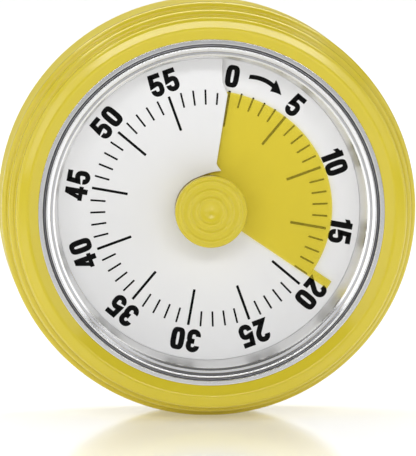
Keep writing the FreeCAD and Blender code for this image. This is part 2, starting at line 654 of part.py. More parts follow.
def great_wheel():
    return wheel(GREAT_MODULE, GREAT_BOTTOM, WINDING_AT, SECOND_BEARING, WINDING_RADIUS, 5)


def second_wheel():
    return wheel(SECOND_MODULE, SECOND_BOTTOM, SECOND_AT, THIRD_BEARING, ARBOR_RADIUS, 4)


def third_wheel():
    return wheel(THIRD_MODULE, THIRD_BOTTOM, THIRD_AT, ESCAPE_BEARING, ARBOR_RADIUS, 4)


def second_arbor():
    return arbor(SECOND_AT, [pinion(GREAT_MODULE, GREAT_BOTTOM, SECOND_AT, SECOND_BEARING)])


def third_arbor():
    return arbor(THIRD_AT, [pinion(SECOND_MODULE, SECOND_BOTTOM, THIRD_AT, THIRD_BEARING)])


def escape_arbor():
    return arbor(ESCAPE_AT, [pinion(THIRD_MODULE, THIRD_BOTTOM, ESCAPE_AT, ESCAPE_BEARING)])


def escape_wheel():
    """Pointed teeth with one steep flank; a gap faces each pallet pin when the train is at rest."""
    pitch = 360.0 / ESCAPE_TEETH
    root = ESCAPE_RADIUS - ESCAPE_TOOTH
    first = BALANCE_BEARING + pallet_angle() + pitch / 2
    points = []
    for tooth in range(ESCAPE_TEETH):
        tip = first + tooth * pitch
        points += [polar(ESCAPE_RADIUS, tip, ESCAPE_AT), polar(root, tip + pitch / 6, ESCAPE_AT),
                   polar(root, tip + pitch * 2 / 3, ESCAPE_AT)]
    bore = rod(ARBOR_RADIUS, SECOND_BOTTOM, SECOND_BOTTOM + WHEEL_SHEET, ESCAPE_AT)
    return plate(points, SECOND_BOTTOM, SECOND_BOTTOM + WHEEL_SHEET).cut(bore)


def pin_circle():
    """Distance of the pallet pins from the escape arbor when the verge is level."""
    return ESCAPE_RADIUS + PIN_GAP + PIN_RADIUS


def pallet_angle():
    """Half the angle between the pallet pins, seen from the escape arbor."""
    return math.degrees(math.acos(pin_circle() / BALANCE_DISTANCE))


def verge():
    """Forked plate over the escape wheel with two pallet pins that reach down beside its teeth."""
    bottom = SECOND_BOTTOM + WHEEL_SHEET + VERGE_GAP
    top = bottom + VERGE_SHEET
    pieces = []
    for side in (-1, 1):
        at = polar(pin_circle(), BALANCE_BEARING + side * pallet_angle(), ESCAPE_AT)
        pieces.append(bar(BALANCE_AT, at, 2 * PIN_RADIUS + PIN_GAP * 2, bottom, top))
        pieces.append(rod(PIN_RADIUS, SECOND_BOTTOM, top, at))
    hub = rod(ARBOR_RADIUS + VERGE_HUB, bottom, top, BALANCE_AT)
    bore = rod(ARBOR_RADIUS, bottom, top, BALANCE_AT)
    return hub.multiFuse(pieces).cut(bore).removeSplitter()


def balance_wheel():
    low, high = BALANCE_BOTTOM, BALANCE_BOTTOM + BALANCE_SHEET
    rim = tube(BALANCE_RADIUS, BALANCE_RADIUS - BALANCE_RIM, low, high, BALANCE_AT)
    reach = BALANCE_RADIUS - BALANCE_RIM / 2
    arm = bar(polar(reach, 0.0, BALANCE_AT), polar(reach, 180.0, BALANCE_AT), BALANCE_ARM, low, high)
    keep = rod(BALANCE_RADIUS, low, high, BALANCE_AT)
    return rim.fuse(arm).common(keep).cut(rod(ARBOR_RADIUS, low, high, BALANCE_AT))


def balance_staff():
    return arbor(BALANCE_AT, [])


# ---- winding parts ----

def clutch_spring():
    """Dished washer that presses on the great wheel."""
    low = GREAT_BOTTOM + WHEEL_SHEET
    high = WASHER_BOTTOM
    return turned([(WINDING_RADIUS, high - SPRING_WASHER_SHEET), (WASHER_RADIUS, low),
                   (WASHER_RADIUS, low + SPRING_WASHER_SHEET), (WINDING_RADIUS, high)])


def clutch_washer():
    return tube(WASHER_RADIUS, WINDING_RADIUS, WASHER_BOTTOM, WASHER_BOTTOM + WASHER_THICK)


def trip_cam():
    """Snail cam: its radius grows round to a sharp drop, where the hammer falls at zero."""
    points = []
    for count in range(CAM_STEPS + 1):
        share = count / CAM_STEPS
        points.append(polar(CAM_RADIUS - CAM_NOTCH * (1.0 - share), clock(360.0 * share)))
    bore = rod(WINDING_RADIUS, CAM_BOTTOM, CAM_BOTTOM + CAM_THICK)
    return plate(points, CAM_BOTTOM, CAM_BOTTOM + CAM_THICK).cut(bore)


def main_spring():
    """Flat spring wound round the arbor, with its outer end on a post of the rear plate."""
    steps = round(MAIN_SPRING_TURNS * 20)
    inner, outer = [], []
    for count in range(steps + 1):
        turns = MAIN_SPRING_TURNS * count / steps
        radius = WINDING_RADIUS + MAIN_SPRING_CLEARANCE + MAIN_SPRING_PITCH * turns
        inner.append(polar(radius, 360.0 * turns))
        outer.append(polar(radius + MAIN_SPRING_SHEET, 360.0 * turns))
    return plate(inner + outer[::-1], MAIN_SPRING_BOTTOM, MAIN_SPRING_TOP)


def spring_post():
    """Riveted post that the outer end of the main spring bears on."""
    spring = WINDING_RADIUS + MAIN_SPRING_CLEARANCE + MAIN_SPRING_PITCH * MAIN_SPRING_TURNS
    at = polar(spring + MAIN_SPRING_SHEET + SPRING_POST_RADIUS, 360.0 * MAIN_SPRING_TURNS)
    return at, rod(SPRING_POST_RADIUS, MAIN_SPRING_BOTTOM, REAR_PLATE_TOP, at)


# ---- hammer ----

def hammer_head_at():
    reach = BELL_RADIUS - BELL_SHEET - HAMMER_GAP - HAMMER_HEAD_RADIUS
    return polar(reach, HAMMER_HEAD_BEARING)


def hammer_pin():
    return rod(HAMMER_PIN_RADIUS, HAMMER_ARM_BOTTOM, FRONT_PLATE_TOP + PIVOT_PROUD, HAMMER_AT)


def hammer_arm():
    """Striking arm inside the bell."""
    low, high = HAMMER_ARM_BOTTOM, HAMMER_ARM_BOTTOM + HAMMER_SHEET
    arm = bar(HAMMER_AT, hammer_head_at(), HAMMER_ARM_WIDTH, low, high)
    hub = rod(HAMMER_HUB_RADIUS, low, high, HAMMER_AT)
    return arm.fuse(hub).cut(rod(HAMMER_PIN_RADIUS, low, high, HAMMER_AT)).cut(
        rod(HAMMER_HEAD_RADIUS, low, high, hammer_head_at()))


def hammer_head():
    low = HAMMER_ARM_BOTTOM + HAMMER_SHEET - HAMMER_HEAD_HEIGHT
    return rod(HAMMER_HEAD_RADIUS, low, HAMMER_ARM_BOTTOM + HAMMER_SHEET, hammer_head_at())


def hammer_finger():
    """Finger between the plates that rides on the trip cam."""
    low, high = CAM_BOTTOM, CAM_BOTTOM + CAM_THICK
    distance = math.hypot(*HAMMER_AT)
    reach = CAM_RADIUS + FINGER_GAP + HAMMER_ARM_WIDTH / 2
    tip = (HAMMER_AT[0] * reach / distance, HAMMER_AT[1] * reach / distance)
    hub = rod(HAMMER_HUB_RADIUS, low, high, HAMMER_AT)
    return bar(HAMMER_AT, tip, HAMMER_ARM_WIDTH, low, high).fuse(hub).cut(
        rod(HAMMER_PIN_RADIUS, low, high, HAMMER_AT))


# ---- plates ----

def plate_blank(bottom, bores):
    """Round plate with two flat edges."""
    top = bottom + PLATE_SHEET
    half_height = plate_half_height()
    blank = rod(PLATE_RADIUS, bottom, top).common(
        Part.makeBox(4 * PLATE_RADIUS, 2 * half_height, PLATE_SHEET,
                     Vector(-2 * PLATE_RADIUS, -half_height, bottom)))
    return blank.cut(group([rod(radius, bottom, top, at) for radius, at in bores]))


def pivot_bores():
    bores = [(PIVOT_RADIUS + PIVOT_FIT, at) for at in TRAIN_ARBORS]
    bores.append((WINDING_RADIUS + SHAFT_FIT, WINDING_AT))
    bores.append((HAMMER_PIN_RADIUS + SHAFT_FIT, HAMMER_AT))
    return bores


def pillar_places():
    """Four pillars near the ends of the plates, beside the two end fixings."""
    across = math.sqrt((PLATE_RADIUS - PILLAR_INSET) ** 2 - PILLAR_OFFSET ** 2)
    return [(side * across, end * PILLAR_OFFSET) for side in (-1, 1) for end in (-1, 1)]


def plate_half_height():
    return centre_distance(GREAT_MODULE) + PLATE_MARGIN


def fixings():
    """Places of the screws that hold the movement to the case."""
    reach = PLATE_RADIUS - FIXING_INSET
    return [(-reach, 0.0), (reach, 0.0), (0.0, plate_half_height() - FIXING_INSET)]


def rear_plate():
    bores = pivot_bores() + [(PLATE_SCREW_SHANK, at) for at in pillar_places()]
    bores += [(DRIVER_HOLE_RADIUS, at) for at in fixings()]
    bores.append((SPRING_POST_RADIUS, spring_post()[0]))
    return plate_blank(REAR_PLATE_BOTTOM, bores)


def front_plate():
    bores = pivot_bores() + [(RIVET_RADIUS, at) for at in pillar_places()]
    bores += [(MOVEMENT_SCREW_SHANK, at) for at in fixings()]
    return plate_blank(FRONT_PLATE_BOTTOM, bores)


def plate_pillars():
    solids = []
    for at in pillar_places():
        body = rod(PILLAR_RADIUS, REAR_PLATE_TOP, FRONT_PLATE_BOTTOM, at)
        spigot = rod(RIVET_RADIUS, FRONT_PLATE_BOTTOM, FRONT_PLATE_TOP, at)
        hole = rod(PLATE_SCREW_SHANK, REAR_PLATE_TOP, REAR_PLATE_BOTTOM + PLATE_SCREW_LENGTH, at)
        solids.append(body.fuse(spigot).cut(hole))
    return group(solids)


def plate_screws():
    return group([screw(PLATE_SCREW_SHANK, PLATE_SCREW_HEAD, PLATE_SCREW_LENGTH, at,
                        REAR_PLATE_BOTTOM, 1) for at in pillar_places()])


def movement_screws():
    return group([screw(MOVEMENT_SCREW_SHANK, MOVEMENT_SCREW_HEAD, MOVEMENT_SCREW_LENGTH, at,
                        FRONT_PLATE_BOTTOM, 1) for at in fixings()])


NODES = {
    "front_shell": front_shell,
    "bezel_ring": bezel_ring,
    "dial_plate": dial_sheet,
    "dial_seat": dial_seat,
    "rear_cover": rear_cover,
    "magnets": magnets,
    "cover_screws": cover_screws,
    "bell": bell,
    "bell_screw": bell_screw,
    "front_plate": front_plate,
    "rear_plate": rear_plate,
    "plate_pillars": plate_pillars,
    "plate_screws": plate_screws,
    "movement_screws": movement_screws,
    "main_spring": main_spring,
    "spring_post": lambda: spring_post()[1],
    "knob": knob,
    "winding_arbor": winding_arbor,
    "great_wheel": great_wheel,
    "clutch_spring": clutch_spring,
    "clutch_washer": clutch_washer,
    "trip_cam": trip_cam,
    "time_film": time_film,
    "film_collar": film_collar,
    "second_wheel": second_wheel,
    "second_arbor": second_arbor,
    "third_wheel": third_wheel,
    "third_arbor": third_arbor,
    "escape_wheel": escape_wheel,
    "escape_arbor": escape_arbor,
    "verge": verge,
    "balance_wheel": balance_wheel,
    "balance_staff": balance_staff,
    "hammer_arm": hammer_arm,
    "hammer_head": hammer_head,
    "hammer_finger": hammer_finger,
    "hammer_pin": hammer_pin,
}


def stand_up(shape):
    """Turn a piece from lying on its back to standing on its foot, dial towards -Y."""
    standing = shape.copy()
    standing.Placement = FreeCAD.Placement(
        Vector(0, CASE_DEPTH / 2, AXIS_HEIGHT), FreeCAD.Rotation(Vector(1, 0, 0), 90)
    ).multiply(shape.Placement)
    return standing


os.makedirs("parts", exist_ok=True)
for name, build in NODES.items():
    stand_up(build()).exportStep("parts/" + name + ".step")
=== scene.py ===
import json
import math

import bpy
import numpy as np
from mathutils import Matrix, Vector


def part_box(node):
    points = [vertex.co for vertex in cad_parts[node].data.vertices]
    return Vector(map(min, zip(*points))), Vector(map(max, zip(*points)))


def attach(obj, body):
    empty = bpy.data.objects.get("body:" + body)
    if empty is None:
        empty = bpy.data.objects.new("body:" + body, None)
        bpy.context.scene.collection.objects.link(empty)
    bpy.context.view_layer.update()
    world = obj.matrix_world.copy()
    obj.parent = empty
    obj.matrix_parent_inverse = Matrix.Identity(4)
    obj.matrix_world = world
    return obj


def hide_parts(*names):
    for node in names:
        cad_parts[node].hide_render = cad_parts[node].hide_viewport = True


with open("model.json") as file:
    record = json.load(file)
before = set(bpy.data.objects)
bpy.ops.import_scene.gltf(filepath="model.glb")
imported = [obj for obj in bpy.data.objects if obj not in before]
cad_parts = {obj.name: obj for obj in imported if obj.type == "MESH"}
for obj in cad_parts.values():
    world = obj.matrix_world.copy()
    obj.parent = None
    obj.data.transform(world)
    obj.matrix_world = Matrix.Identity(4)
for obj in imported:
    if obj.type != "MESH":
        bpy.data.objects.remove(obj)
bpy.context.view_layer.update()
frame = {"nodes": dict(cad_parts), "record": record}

# A round wind-up kitchen timer: stepped glossy case, polished metal ring, white slit dial, yellow film
# and centre knob. Sizes below are in millimetres and angles in degrees. A place on the timer is given by
# its distance from the dial's axis, its dial angle (clockwise from the zero mark, as the minutes run) and
# its height above the flat back.

MM = 0.001

# ---- places and sizes taken from the frame ----


def size_of(node):
    """Outer radius, lowest height and highest height of a round CAD node, in millimetres."""
    low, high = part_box(node)
    across = min(high.x - low.x, high.z - low.z)
    return across / 2 / MM, (BACK - high.y) / MM, (BACK - low.y) / MM


case_low, case_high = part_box("front_shell")
knob_low, knob_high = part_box("knob")
BACK = case_high.y
GROUND = case_low.z
AXIS_X = (knob_low.x + knob_high.x) / 2
AXIS_Z = (knob_low.z + knob_high.z) / 2
CASE_RADIUS = (case_high.z - AXIS_Z) / MM
CASE_DEPTH = (case_high.y - case_low.y) / MM
RING_RADIUS, WELL_FLOOR, RING_TOP = size_of("bezel_ring")
DIAL_RADIUS, _, DIAL_HIGH = size_of("dial_plate")
KNOB_RADIUS, STEM_END, KNOB_FACE = size_of("knob")
_, _, COVER_INSIDE = size_of("rear_cover")

# ---- sizes of the finished surfaces ----
DIAL_TURN = 10.15         # the zero mark leans this far clockwise from straight up

BEAD_STEP = 1.22          # the side of the case falls back by this much at each of its rounded steps
BEAD_RISE = 5.0
BEAD_COUNT = 3
BEAD_ROUND = 0.98         # fillet of a bead's front edge, as a share of its step
BEAD_VALLEY = 0.32        # fillet at the foot of each step
BACK_CHAMFER = 1.2
BACK_ROUND = 0.8
SHELL_WALL = 2.0
CREST_RADIUS = 35.3
CREST_CROWN = 0.6         # the front of the case rises by this much from its outer bead to its crest
CREST_ROUND = 0.9
SIDE_BLEND = 1.5          # the outer wall changes from gloss to satin over this depth
SIDE_SETBACK = 1.2        # and it begins to change this far behind the front of the hindmost bead
SIDE_FRONT = BACK / MM - CASE_DEPTH + (BEAD_COUNT - 1) * BEAD_RISE + SIDE_SETBACK

RING_SHEET = 0.6
FLANGE_WIDTH = 0.8
GROOVE_WIDTH = 0.85
GROOVE_DEPTH = 0.5
SHOULDER_DROP = 0.05
SHOULDER_ROUND = 0.3
DOME_WIDTH = 1.6
DOME_FALL = 1.3
FLANGE_INSIDE = RING_RADIUS - FLANGE_WIDTH
GROOVE_MIDDLE = FLANGE_INSIDE - GROOVE_WIDTH / 2
GROOVE_INSIDE = FLANGE_INSIDE - GROOVE_WIDTH
MOUTH_RADIUS = GROOVE_INSIDE - DOME_WIDTH
SATIN_BLEND = 0.2         # the ring's polish gives way to satin over this width inside the mouth
SKIRT_GAP = 0.04          # the skirt narrows until it almost touches the rim of the dial
SKIRT_WALL = 0.4
SKIRT_BEND = 0.3          # height of the skirt's bend above the dial, and its fillet
WELL_GAP = 0.7            # from the mouth of the ring to the wall of the well
WEB_THICK = 1.5
WEB_HOLE = 4.6

BOSS_RADIUS = 3.0
BOSS_BITE = 0.3           # the posts run this far into the wall of the case
BOSS_HOLE = 1.0
BOSS_TOP = 20.0
BOSS_STEPS = 48
BOSS_CIRCLE = CASE_RADIUS - SHELL_WALL + BOSS_BITE - BOSS_RADIUS
# radius and dial angle of each post: one straight up and two lower down, a third of a turn apart
BOSS_PLACES = [(BOSS_CIRCLE, 90.0 - angle - DIAL_TURN) for angle in (90.0, 210.0, 330.0)]
SCREW_SHANK = 1.0
SCREW_POINT = 0.7
SCREW_TAPER = 0.5
SCREW_TIP = 8.9
SCREW_HEAD = 1.9
SCREW_HEAD_HEIGHT = 0.9
SCREW_STEPS = 72
HEAD_EDGE = 0.3           # height of the head's outer corner above the back
HEAD_FACE_RADIUS = 1.75
HEAD_FACE_LOW = 0.02      # the head's face bulges back to this height at its middle
HEAD_FACE_BULGE = 0.18
HEAD_FACE_LIMIT = 0.25    # the cross is pressed only into what lies below this height
CROSS_DEPTH = 0.5
CROSS_REACH = 1.2
CROSS_END_SLOPE = 0.2
CROSS_HALF_WIDTH = 0.36
CROSS_SIDE_SLOPE = 0.14

SCREW_PITCH = 1.2         # the dial and the film are screw surfaces that rise by this in a turn
DIAL_SHEET = 0.4
DIAL_HOLE = 6.6
DIAL_TUCK = 8.0           # the low end of the dial runs this far on under the lip
DIAL_STEP = 2.0
DIAL_ROUND = 0.09
SPREAD_FROM = 342.0       # from here the dial's rows spread out to the outline of the lip
SPREAD_ROWS = 20
LIP_SETBACK = 1.0
TONGUE_ROOT = 9.1         # the lip begins to run on towards the hole from this radius inwards
TONGUE_REACH = 8.5
TONGUE_CURVE = 1.7
HOLLOW_FROM = 330.0       # the hole widens from here to the tip of the tongue
HOLLOW_DEPTH = 1.2
HOLLOW_CURVE = 1.6
NOTCH_START = 22.4
NOTCH_RUN = 2.3
NOTCH_END = NOTCH_START + NOTCH_RUN
NOTCH_ANGLE = 4.2
NOTCH_RIM_ANGLE = 5.1
FILM_SHEET = 0.25
FILM_STEP = 1.5
FILM_INSIDE = 5.5
FILM_RADIUS = 22.9
FILM_FULLNESS = 0.9       # the film is cut this much fuller a little way behind its tab
FULL_AT = 38.0
FULL_SPREAD = 68.0
TAB_RADIUS = 27.5
TAB_WIDTH = 1.64
TAB_LAP = 0.02
SET_ANGLE = 114.0         # the film's leading edge at rest

MINUTES = 60
MARK_EVERY = 5
TICK_OUTSIDE = 22.95
LONG_TICK = 7.0
LONG_TICK_WIDTH = 0.5
SHORT_TICK = 2.95
SHORT_TICK_WIDTH = 0.36
TICK_ROUND = 0.1
DIGIT_HEIGHT = 4.34
DIGIT_GAP = 0.42
DIGIT_MIDDLE = 25.8
BOLD = 1.06               # every pen stroke of a number is drawn this much wider
LOOP_POWER = 0.62         # below 1, the ends of the zero are squarer than an ellipse
PRINT_RISE = 0.23         # the print is registered a little high on the sheet
INK_PROUD = 0.012
INK_SUNK = 0.05
ARROW_RADIUS = 26.85
ARROW_BOW = 0.0112
ARROW_CREST = 13.0
ARROW_WIDTH = 0.88
ARROW_FROM = 7.0
ARROW_HEAD_FROM = 17.6
ARROW_TO = 22.6
ARROW_LAP = 0.3
ARROW_HEAD_WIDTH = 2.5
ARROW_POINT = 0.02        # width left at the point, as a share of the head's width

KNOB_RIM = 1.6
KNOB_FOOT_INSET = 1.22
KNOB_EDGE = 0.35
KNOB_FILLET = 0.3
KNOB_UNDERSIDE = 21.7
RIDGE_RADII = (2.6, 4.1, 5.8)
RIDGE_HEIGHT = 0.28
RIDGE_WIDTH = 1.1
RIDGE_POINTS = 13
DISH_RADIUS = 1.9         # the middle of the knob's face is dished
DISH_DEPTH = 0.3
STEM_RADIUS = 3.2
SOCKET_RADIUS = 1.5
SOCKET_ROOF = 2.2

ROUND = 360               # steps round a turned piece
GUARD = 0.05              # the extra points of a long straight run lie this far in from its ends
ARC_STEP = 12.0           # degrees of bend between the points of a rounded corner
STRAIGHT = 1e-3           # a corner that bends by less than this, in radians, isn't rounded
CREASE = 40.0             # edges that bend by more degrees than this stay sharp
POLISHED_CREASE = 50.0    # the same for the ring and the knob
BEVEL_FROM = 50.0         # edges that bend by more degrees than this are bevelled
SAME_PLACE = 1e-7         # points that agree to this many metres are one

BOARD_FRONT = -3.0        # the studio's board, in metres
BOARD_BACK = 1.9
BOARD_ROLL = 0.3
BOARD_HALF_WIDTH = 3.0
BOARD_GLOW = 0.2


# ---- surfaces ----

def place(radius, angle, height):
    """Points in the frame from radius, dial angle and height: x and z are the radius times the sine and
    cosine of the angle plus the turn of the dial, and y runs forwards from the back by the height."""
    turn = np.radians(angle + DIAL_TURN)
    radius, turn, height = np.broadcast_arrays(radius, turn, height)
    return np.stack([AXIS_X + radius * np.sin(turn) * MM, BACK - height * MM,
                     AXIS_Z + radius * np.cos(turn) * MM], axis=-1)


def as_piece(name, mesh, crease):
    """Object of a finished mesh, smooth but for the edges that bend by more than `crease` degrees."""
    mesh.shade_smooth()
    mesh.set_sharp_from_angle(angle=math.radians(crease))
    piece = bpy.data.objects.new(name, mesh)
    bpy.context.scene.collection.objects.link(piece)
    return piece


def mesh_piece(name, points, quads, crease=CREASE):
    """Mesh object of points and quads. Corners that fall together at a seam or pole are made one, and a
    quad that loses a corner there becomes a triangle."""
    points = np.asarray(points, float).reshape(-1, 3)
    _, first, index = np.unique(np.round(points / SAME_PLACE).astype(np.int64), axis=0,
                                return_index=True, return_inverse=True)
    points, quads = points[first], index.reshape(-1)[quads]
    repeated = quads == np.roll(quads, -1, axis=1)
    lost = repeated.sum(axis=1)
    triangles = quads[lost == 1][~repeated[lost == 1]].reshape(-1, 3)
    mesh = bpy.data.meshes.new(name)
    mesh.from_pydata(points, [], quads[lost == 0].tolist() + triangles.tolist())
    mesh.update()
    return as_piece(name, mesh, crease)


def grid_quads(rows, columns, close_rows=False, close_columns=False, start=0):
    """Corner numbers of the quads between neighbouring rows and columns of a grid of points."""
    row = np.arange(rows if close_rows else rows - 1)[:, None]
    column = np.arange(columns if close_columns else columns - 1)[None, :]
    next_row, next_column = (row + 1) % rows, (column + 1) % columns
    corners = [row * columns + column, row * columns + next_column,
               next_row * columns + next_column, next_row * columns + column]
    return start + np.stack(np.broadcast_arrays(*corners), axis=-1).reshape(-1, 4)


def filleted(outline):
    """Points of a line through (across, up, fillet radius) corners: each corner with a radius becomes an
    arc that touches both of its straight sides."""
    corners = np.array([corner[:2] for corner in outline], float)
    points = [corners[0]]
    for before, corner, after, item in zip(corners, corners[1:], corners[2:], outline[1:]):
        to_before, to_after = before - corner, after - corner
        to_before, to_after = (v / np.linalg.norm(v) for v in (to_before, to_after))
        half = math.acos(np.clip(to_before @ to_after, -1, 1)) / 2
        bend = math.pi - 2 * half
        if item[2] == 0 or bend < STRAIGHT:
            points.append(corner)
            continue
        inwards = (to_before + to_after) / np.linalg.norm(to_before + to_after)
        middle = corner + inwards * item[2] / math.sin(half)
        start = corner + to_before * item[2] / math.tan(half) - middle
        side = 1 if to_before[0] * to_after[1] - to_before[1] * to_after[0] < 0 else -1
        turns = np.linspace(0, bend, max(2, math.ceil(math.degrees(bend) / ARC_STEP)) + 1) * side
        turned = np.stack([start[0] * np.cos(turns) - start[1] * np.sin(turns),
                           start[0] * np.sin(turns) + start[1] * np.cos(turns)], axis=-1)
        points.extend(middle + turned)
    points.append(corners[-1])
    return guarded(np.array(points))


def guarded(line):
    """A line whose long straight runs get a point a little way in from each end, so that the shading of
    a flat or conical band isn't bent by the rounding beside it."""
    run = np.diff(line, axis=0)
    length = np.linalg.norm(run, axis=1)[:, None]
    share = np.where(length > 4 * GUARD, GUARD / np.maximum(length, GUARD), 0.0)
    near, far = line[:-1] + run * share, line[1:] - run * share
    kept = np.stack([line[:-1], near, far], axis=1).reshape(-1, 2)
    wanted = np.repeat(length > 4 * GUARD, 3, axis=1)
    wanted[:, 0] = True
    return np.vstack([kept[wanted.reshape(-1)], line[-1:]])


def turned_piece(name, outline, at=(0.0, 0.0), steps=ROUND, crease=CREASE):
    """A profile of (radius, height, fillet) corners carried round the axis, or round a line parallel to
    it at (radius, dial angle). The profile runs with the solid on its right, from the axis to the axis,
    or it is a closed loop that ends where it starts."""
    profile = filleted(outline)
    angles = np.arange(steps) * 360.0 / steps - DIAL_TURN
    spun = place(profile[:, 0], angles[:, None], profile[:, 1])
    centre = place(at[0], at[1], 0.0) - place(0.0, 0.0, 0.0)
    return mesh_piece(name, spun + centre, grid_quads(steps, len(profile), close_rows=True), crease)


def read_all(things, field, width, kind):
    """One field of every vertex, corner or face of a mesh, as a flat array."""
    values = np.empty(len(things) * width, kind)
    things.foreach_get(field, values)
    return values


def joined(name, pieces):
    """One piece made of several meshes: their points, corners and faces run on one after another."""
    points, corners, starts = [], [], []
    point_count, corner_count = 0, 0
    for piece in pieces:
        mesh = piece.data
        points.append(read_all(mesh.vertices, "co", 3, np.float32))
        corners.append(read_all(mesh.loops, "vertex_index", 1, np.int32) + point_count)
        starts.append(read_all(mesh.polygons, "loop_start", 1, np.int32) + corner_count)
        point_count += len(mesh.vertices)
        corner_count += len(mesh.loops)
        bpy.data.objects.remove(piece)
    mesh = bpy.data.meshes.new(name)
    mesh.vertices.add(point_count)
    mesh.vertices.foreach_set("co", np.concatenate(points))
    mesh.loops.add(corner_count)
    mesh.loops.foreach_set("vertex_index", np.concatenate(corners))
    mesh.polygons.add(sum(len(start) for start in starts))
    mesh.polygons.foreach_set("loop_start", np.concatenate(starts))
    mesh.update(calc_edges=True)
    return as_piece(name, mesh, CREASE)


def add_bevel(piece, width):
    """Rounds the sharp edges of a piece by a width in millimetres."""
    bevel = piece.modifiers.new("edge_round", "BEVEL")
    bevel.width = width * MM
    bevel.segments = 3
    bevel.limit_method = "ANGLE"
    bevel.angle_limit = math.radians(BEVEL_FROM)
    return piece


# ---- the case ----

def bead_top(bead):
    """Height of the front of a bead, counted from the hindmost."""
    return CASE_DEPTH - (BEAD_COUNT - 1 - bead) * BEAD_RISE


def case_outline():
    """The case's section: up its stepped side, over the crest, down to the ring's seat and the well,
    through the floor of the well, and back down the stepped inside of the wall."""
    ring_seat = RING_TOP - RING_SHEET
    well = MOUTH_RADIUS + WELL_GAP
    web_back = WELL_FLOOR - WEB_THICK
    shoulder = CASE_RADIUS - (BEAD_COUNT - 1) * BEAD_STEP
    outline = [(CASE_RADIUS - BACK_CHAMFER, 0.0, 0.0), (CASE_RADIUS, BACK_CHAMFER, BACK_ROUND)]
    for bead in range(BEAD_COUNT - 1):
        radius, top = CASE_RADIUS - bead * BEAD_STEP, bead_top(bead)
        outline += [(radius, top, BEAD_STEP * BEAD_ROUND), (radius - BEAD_STEP, top, BEAD_VALLEY)]
    outline += [(shoulder, CASE_DEPTH - CREST_CROWN, CREST_ROUND), (CREST_RADIUS, CASE_DEPTH, CREST_ROUND),
                (RING_RADIUS, RING_TOP, 0.06), (RING_RADIUS, ring_seat, 0.0), (well, ring_seat, 0.15),
                (well, WELL_FLOOR, 0.3), (WEB_HOLE, WELL_FLOOR, 0.2), (WEB_HOLE, web_back, 0.0),
                (well + SHELL_WALL, web_back, 0.5), (well + SHELL_WALL, ring_seat - SHELL_WALL, 0.5)]
    for bead in reversed(range(BEAD_COUNT)):
        radius = CASE_RADIUS - SHELL_WALL - bead * BEAD_STEP
        top = min(bead_top(bead), ring_seat) - SHELL_WALL
        outline += [(radius, top, 0.3), (radius, top - BEAD_RISE if bead else 0.0, 0.0)]
    return outline


def flatten_foot(mesh):
    """The narrow foot of the case: what would reach below the ground line is brought up to it."""
    flat = read_all(mesh.vertices, "co", 3, np.float64)
    flat[2::3] = np.maximum(flat[2::3], GROUND)
    mesh.vertices.foreach_set("co", flat)
    mesh.update()


def make_case():
    """The case's section turned round the axis, and three hollow posts for the screws of the back."""
    outline = case_outline()
    shell = turned_piece("case_shell", outline + outline[:1])
    flatten_foot(shell.data)
    post = [(0.0, BOSS_TOP, 0.0), (BOSS_RADIUS, BOSS_TOP, 0.3), (BOSS_RADIUS, COVER_INSIDE, 0.2),
            (BOSS_HOLE, COVER_INSIDE, 0.0), (BOSS_HOLE, BOSS_TOP / 2, 0.0), (0.0, BOSS_TOP / 2, 0.0)]
    posts = [turned_piece("boss", post, at=spot, steps=BOSS_STEPS) for spot in BOSS_PLACES]
    return joined("case_shell", [shell] + posts)


def make_ring():
    """Pressed ring: flat flange, a vee groove, a cone that falls to the mouth with a rounded shoulder,
    and the skirt, which narrows to the rim of the dial."""
    foot = DIAL_RADIUS + SKIRT_GAP
    mouth_top = RING_TOP - DOME_FALL
    behind = MOUTH_RADIUS + SKIRT_WALL
    outline = [(RING_RADIUS, RING_TOP - RING_SHEET, 0.0), (RING_RADIUS, RING_TOP, 0.15),
               (FLANGE_INSIDE, RING_TOP, 0.08), (GROOVE_MIDDLE, RING_TOP - GROOVE_DEPTH, 0.12),
               (GROOVE_INSIDE, RING_TOP - SHOULDER_DROP, SHOULDER_ROUND), (MOUTH_RADIUS, mouth_top, 0.08),
               (foot, DIAL_HIGH + SKIRT_BEND, SKIRT_BEND), (foot, WELL_FLOOR, 0.0),
               (foot + SKIRT_WALL, WELL_FLOOR, 0.0), (behind, mouth_top, 0.0),
               (behind, RING_TOP - RING_SHEET, 0.0)]
    return turned_piece("polished_ring", outline + outline[:1], crease=POLISHED_CREASE)


def cross_arm(lengthwise, sideways):
    """One arm of the cross in a screw's head: 1 on its floor, falling off evenly to 0 at its edges."""
    return (np.clip((CROSS_REACH - np.abs(lengthwise)) / CROSS_END_SLOPE, 0, 1)
            * np.clip((CROSS_HALF_WIDTH - np.abs(sideways)) / CROSS_SIDE_SLOPE, 0, 1))


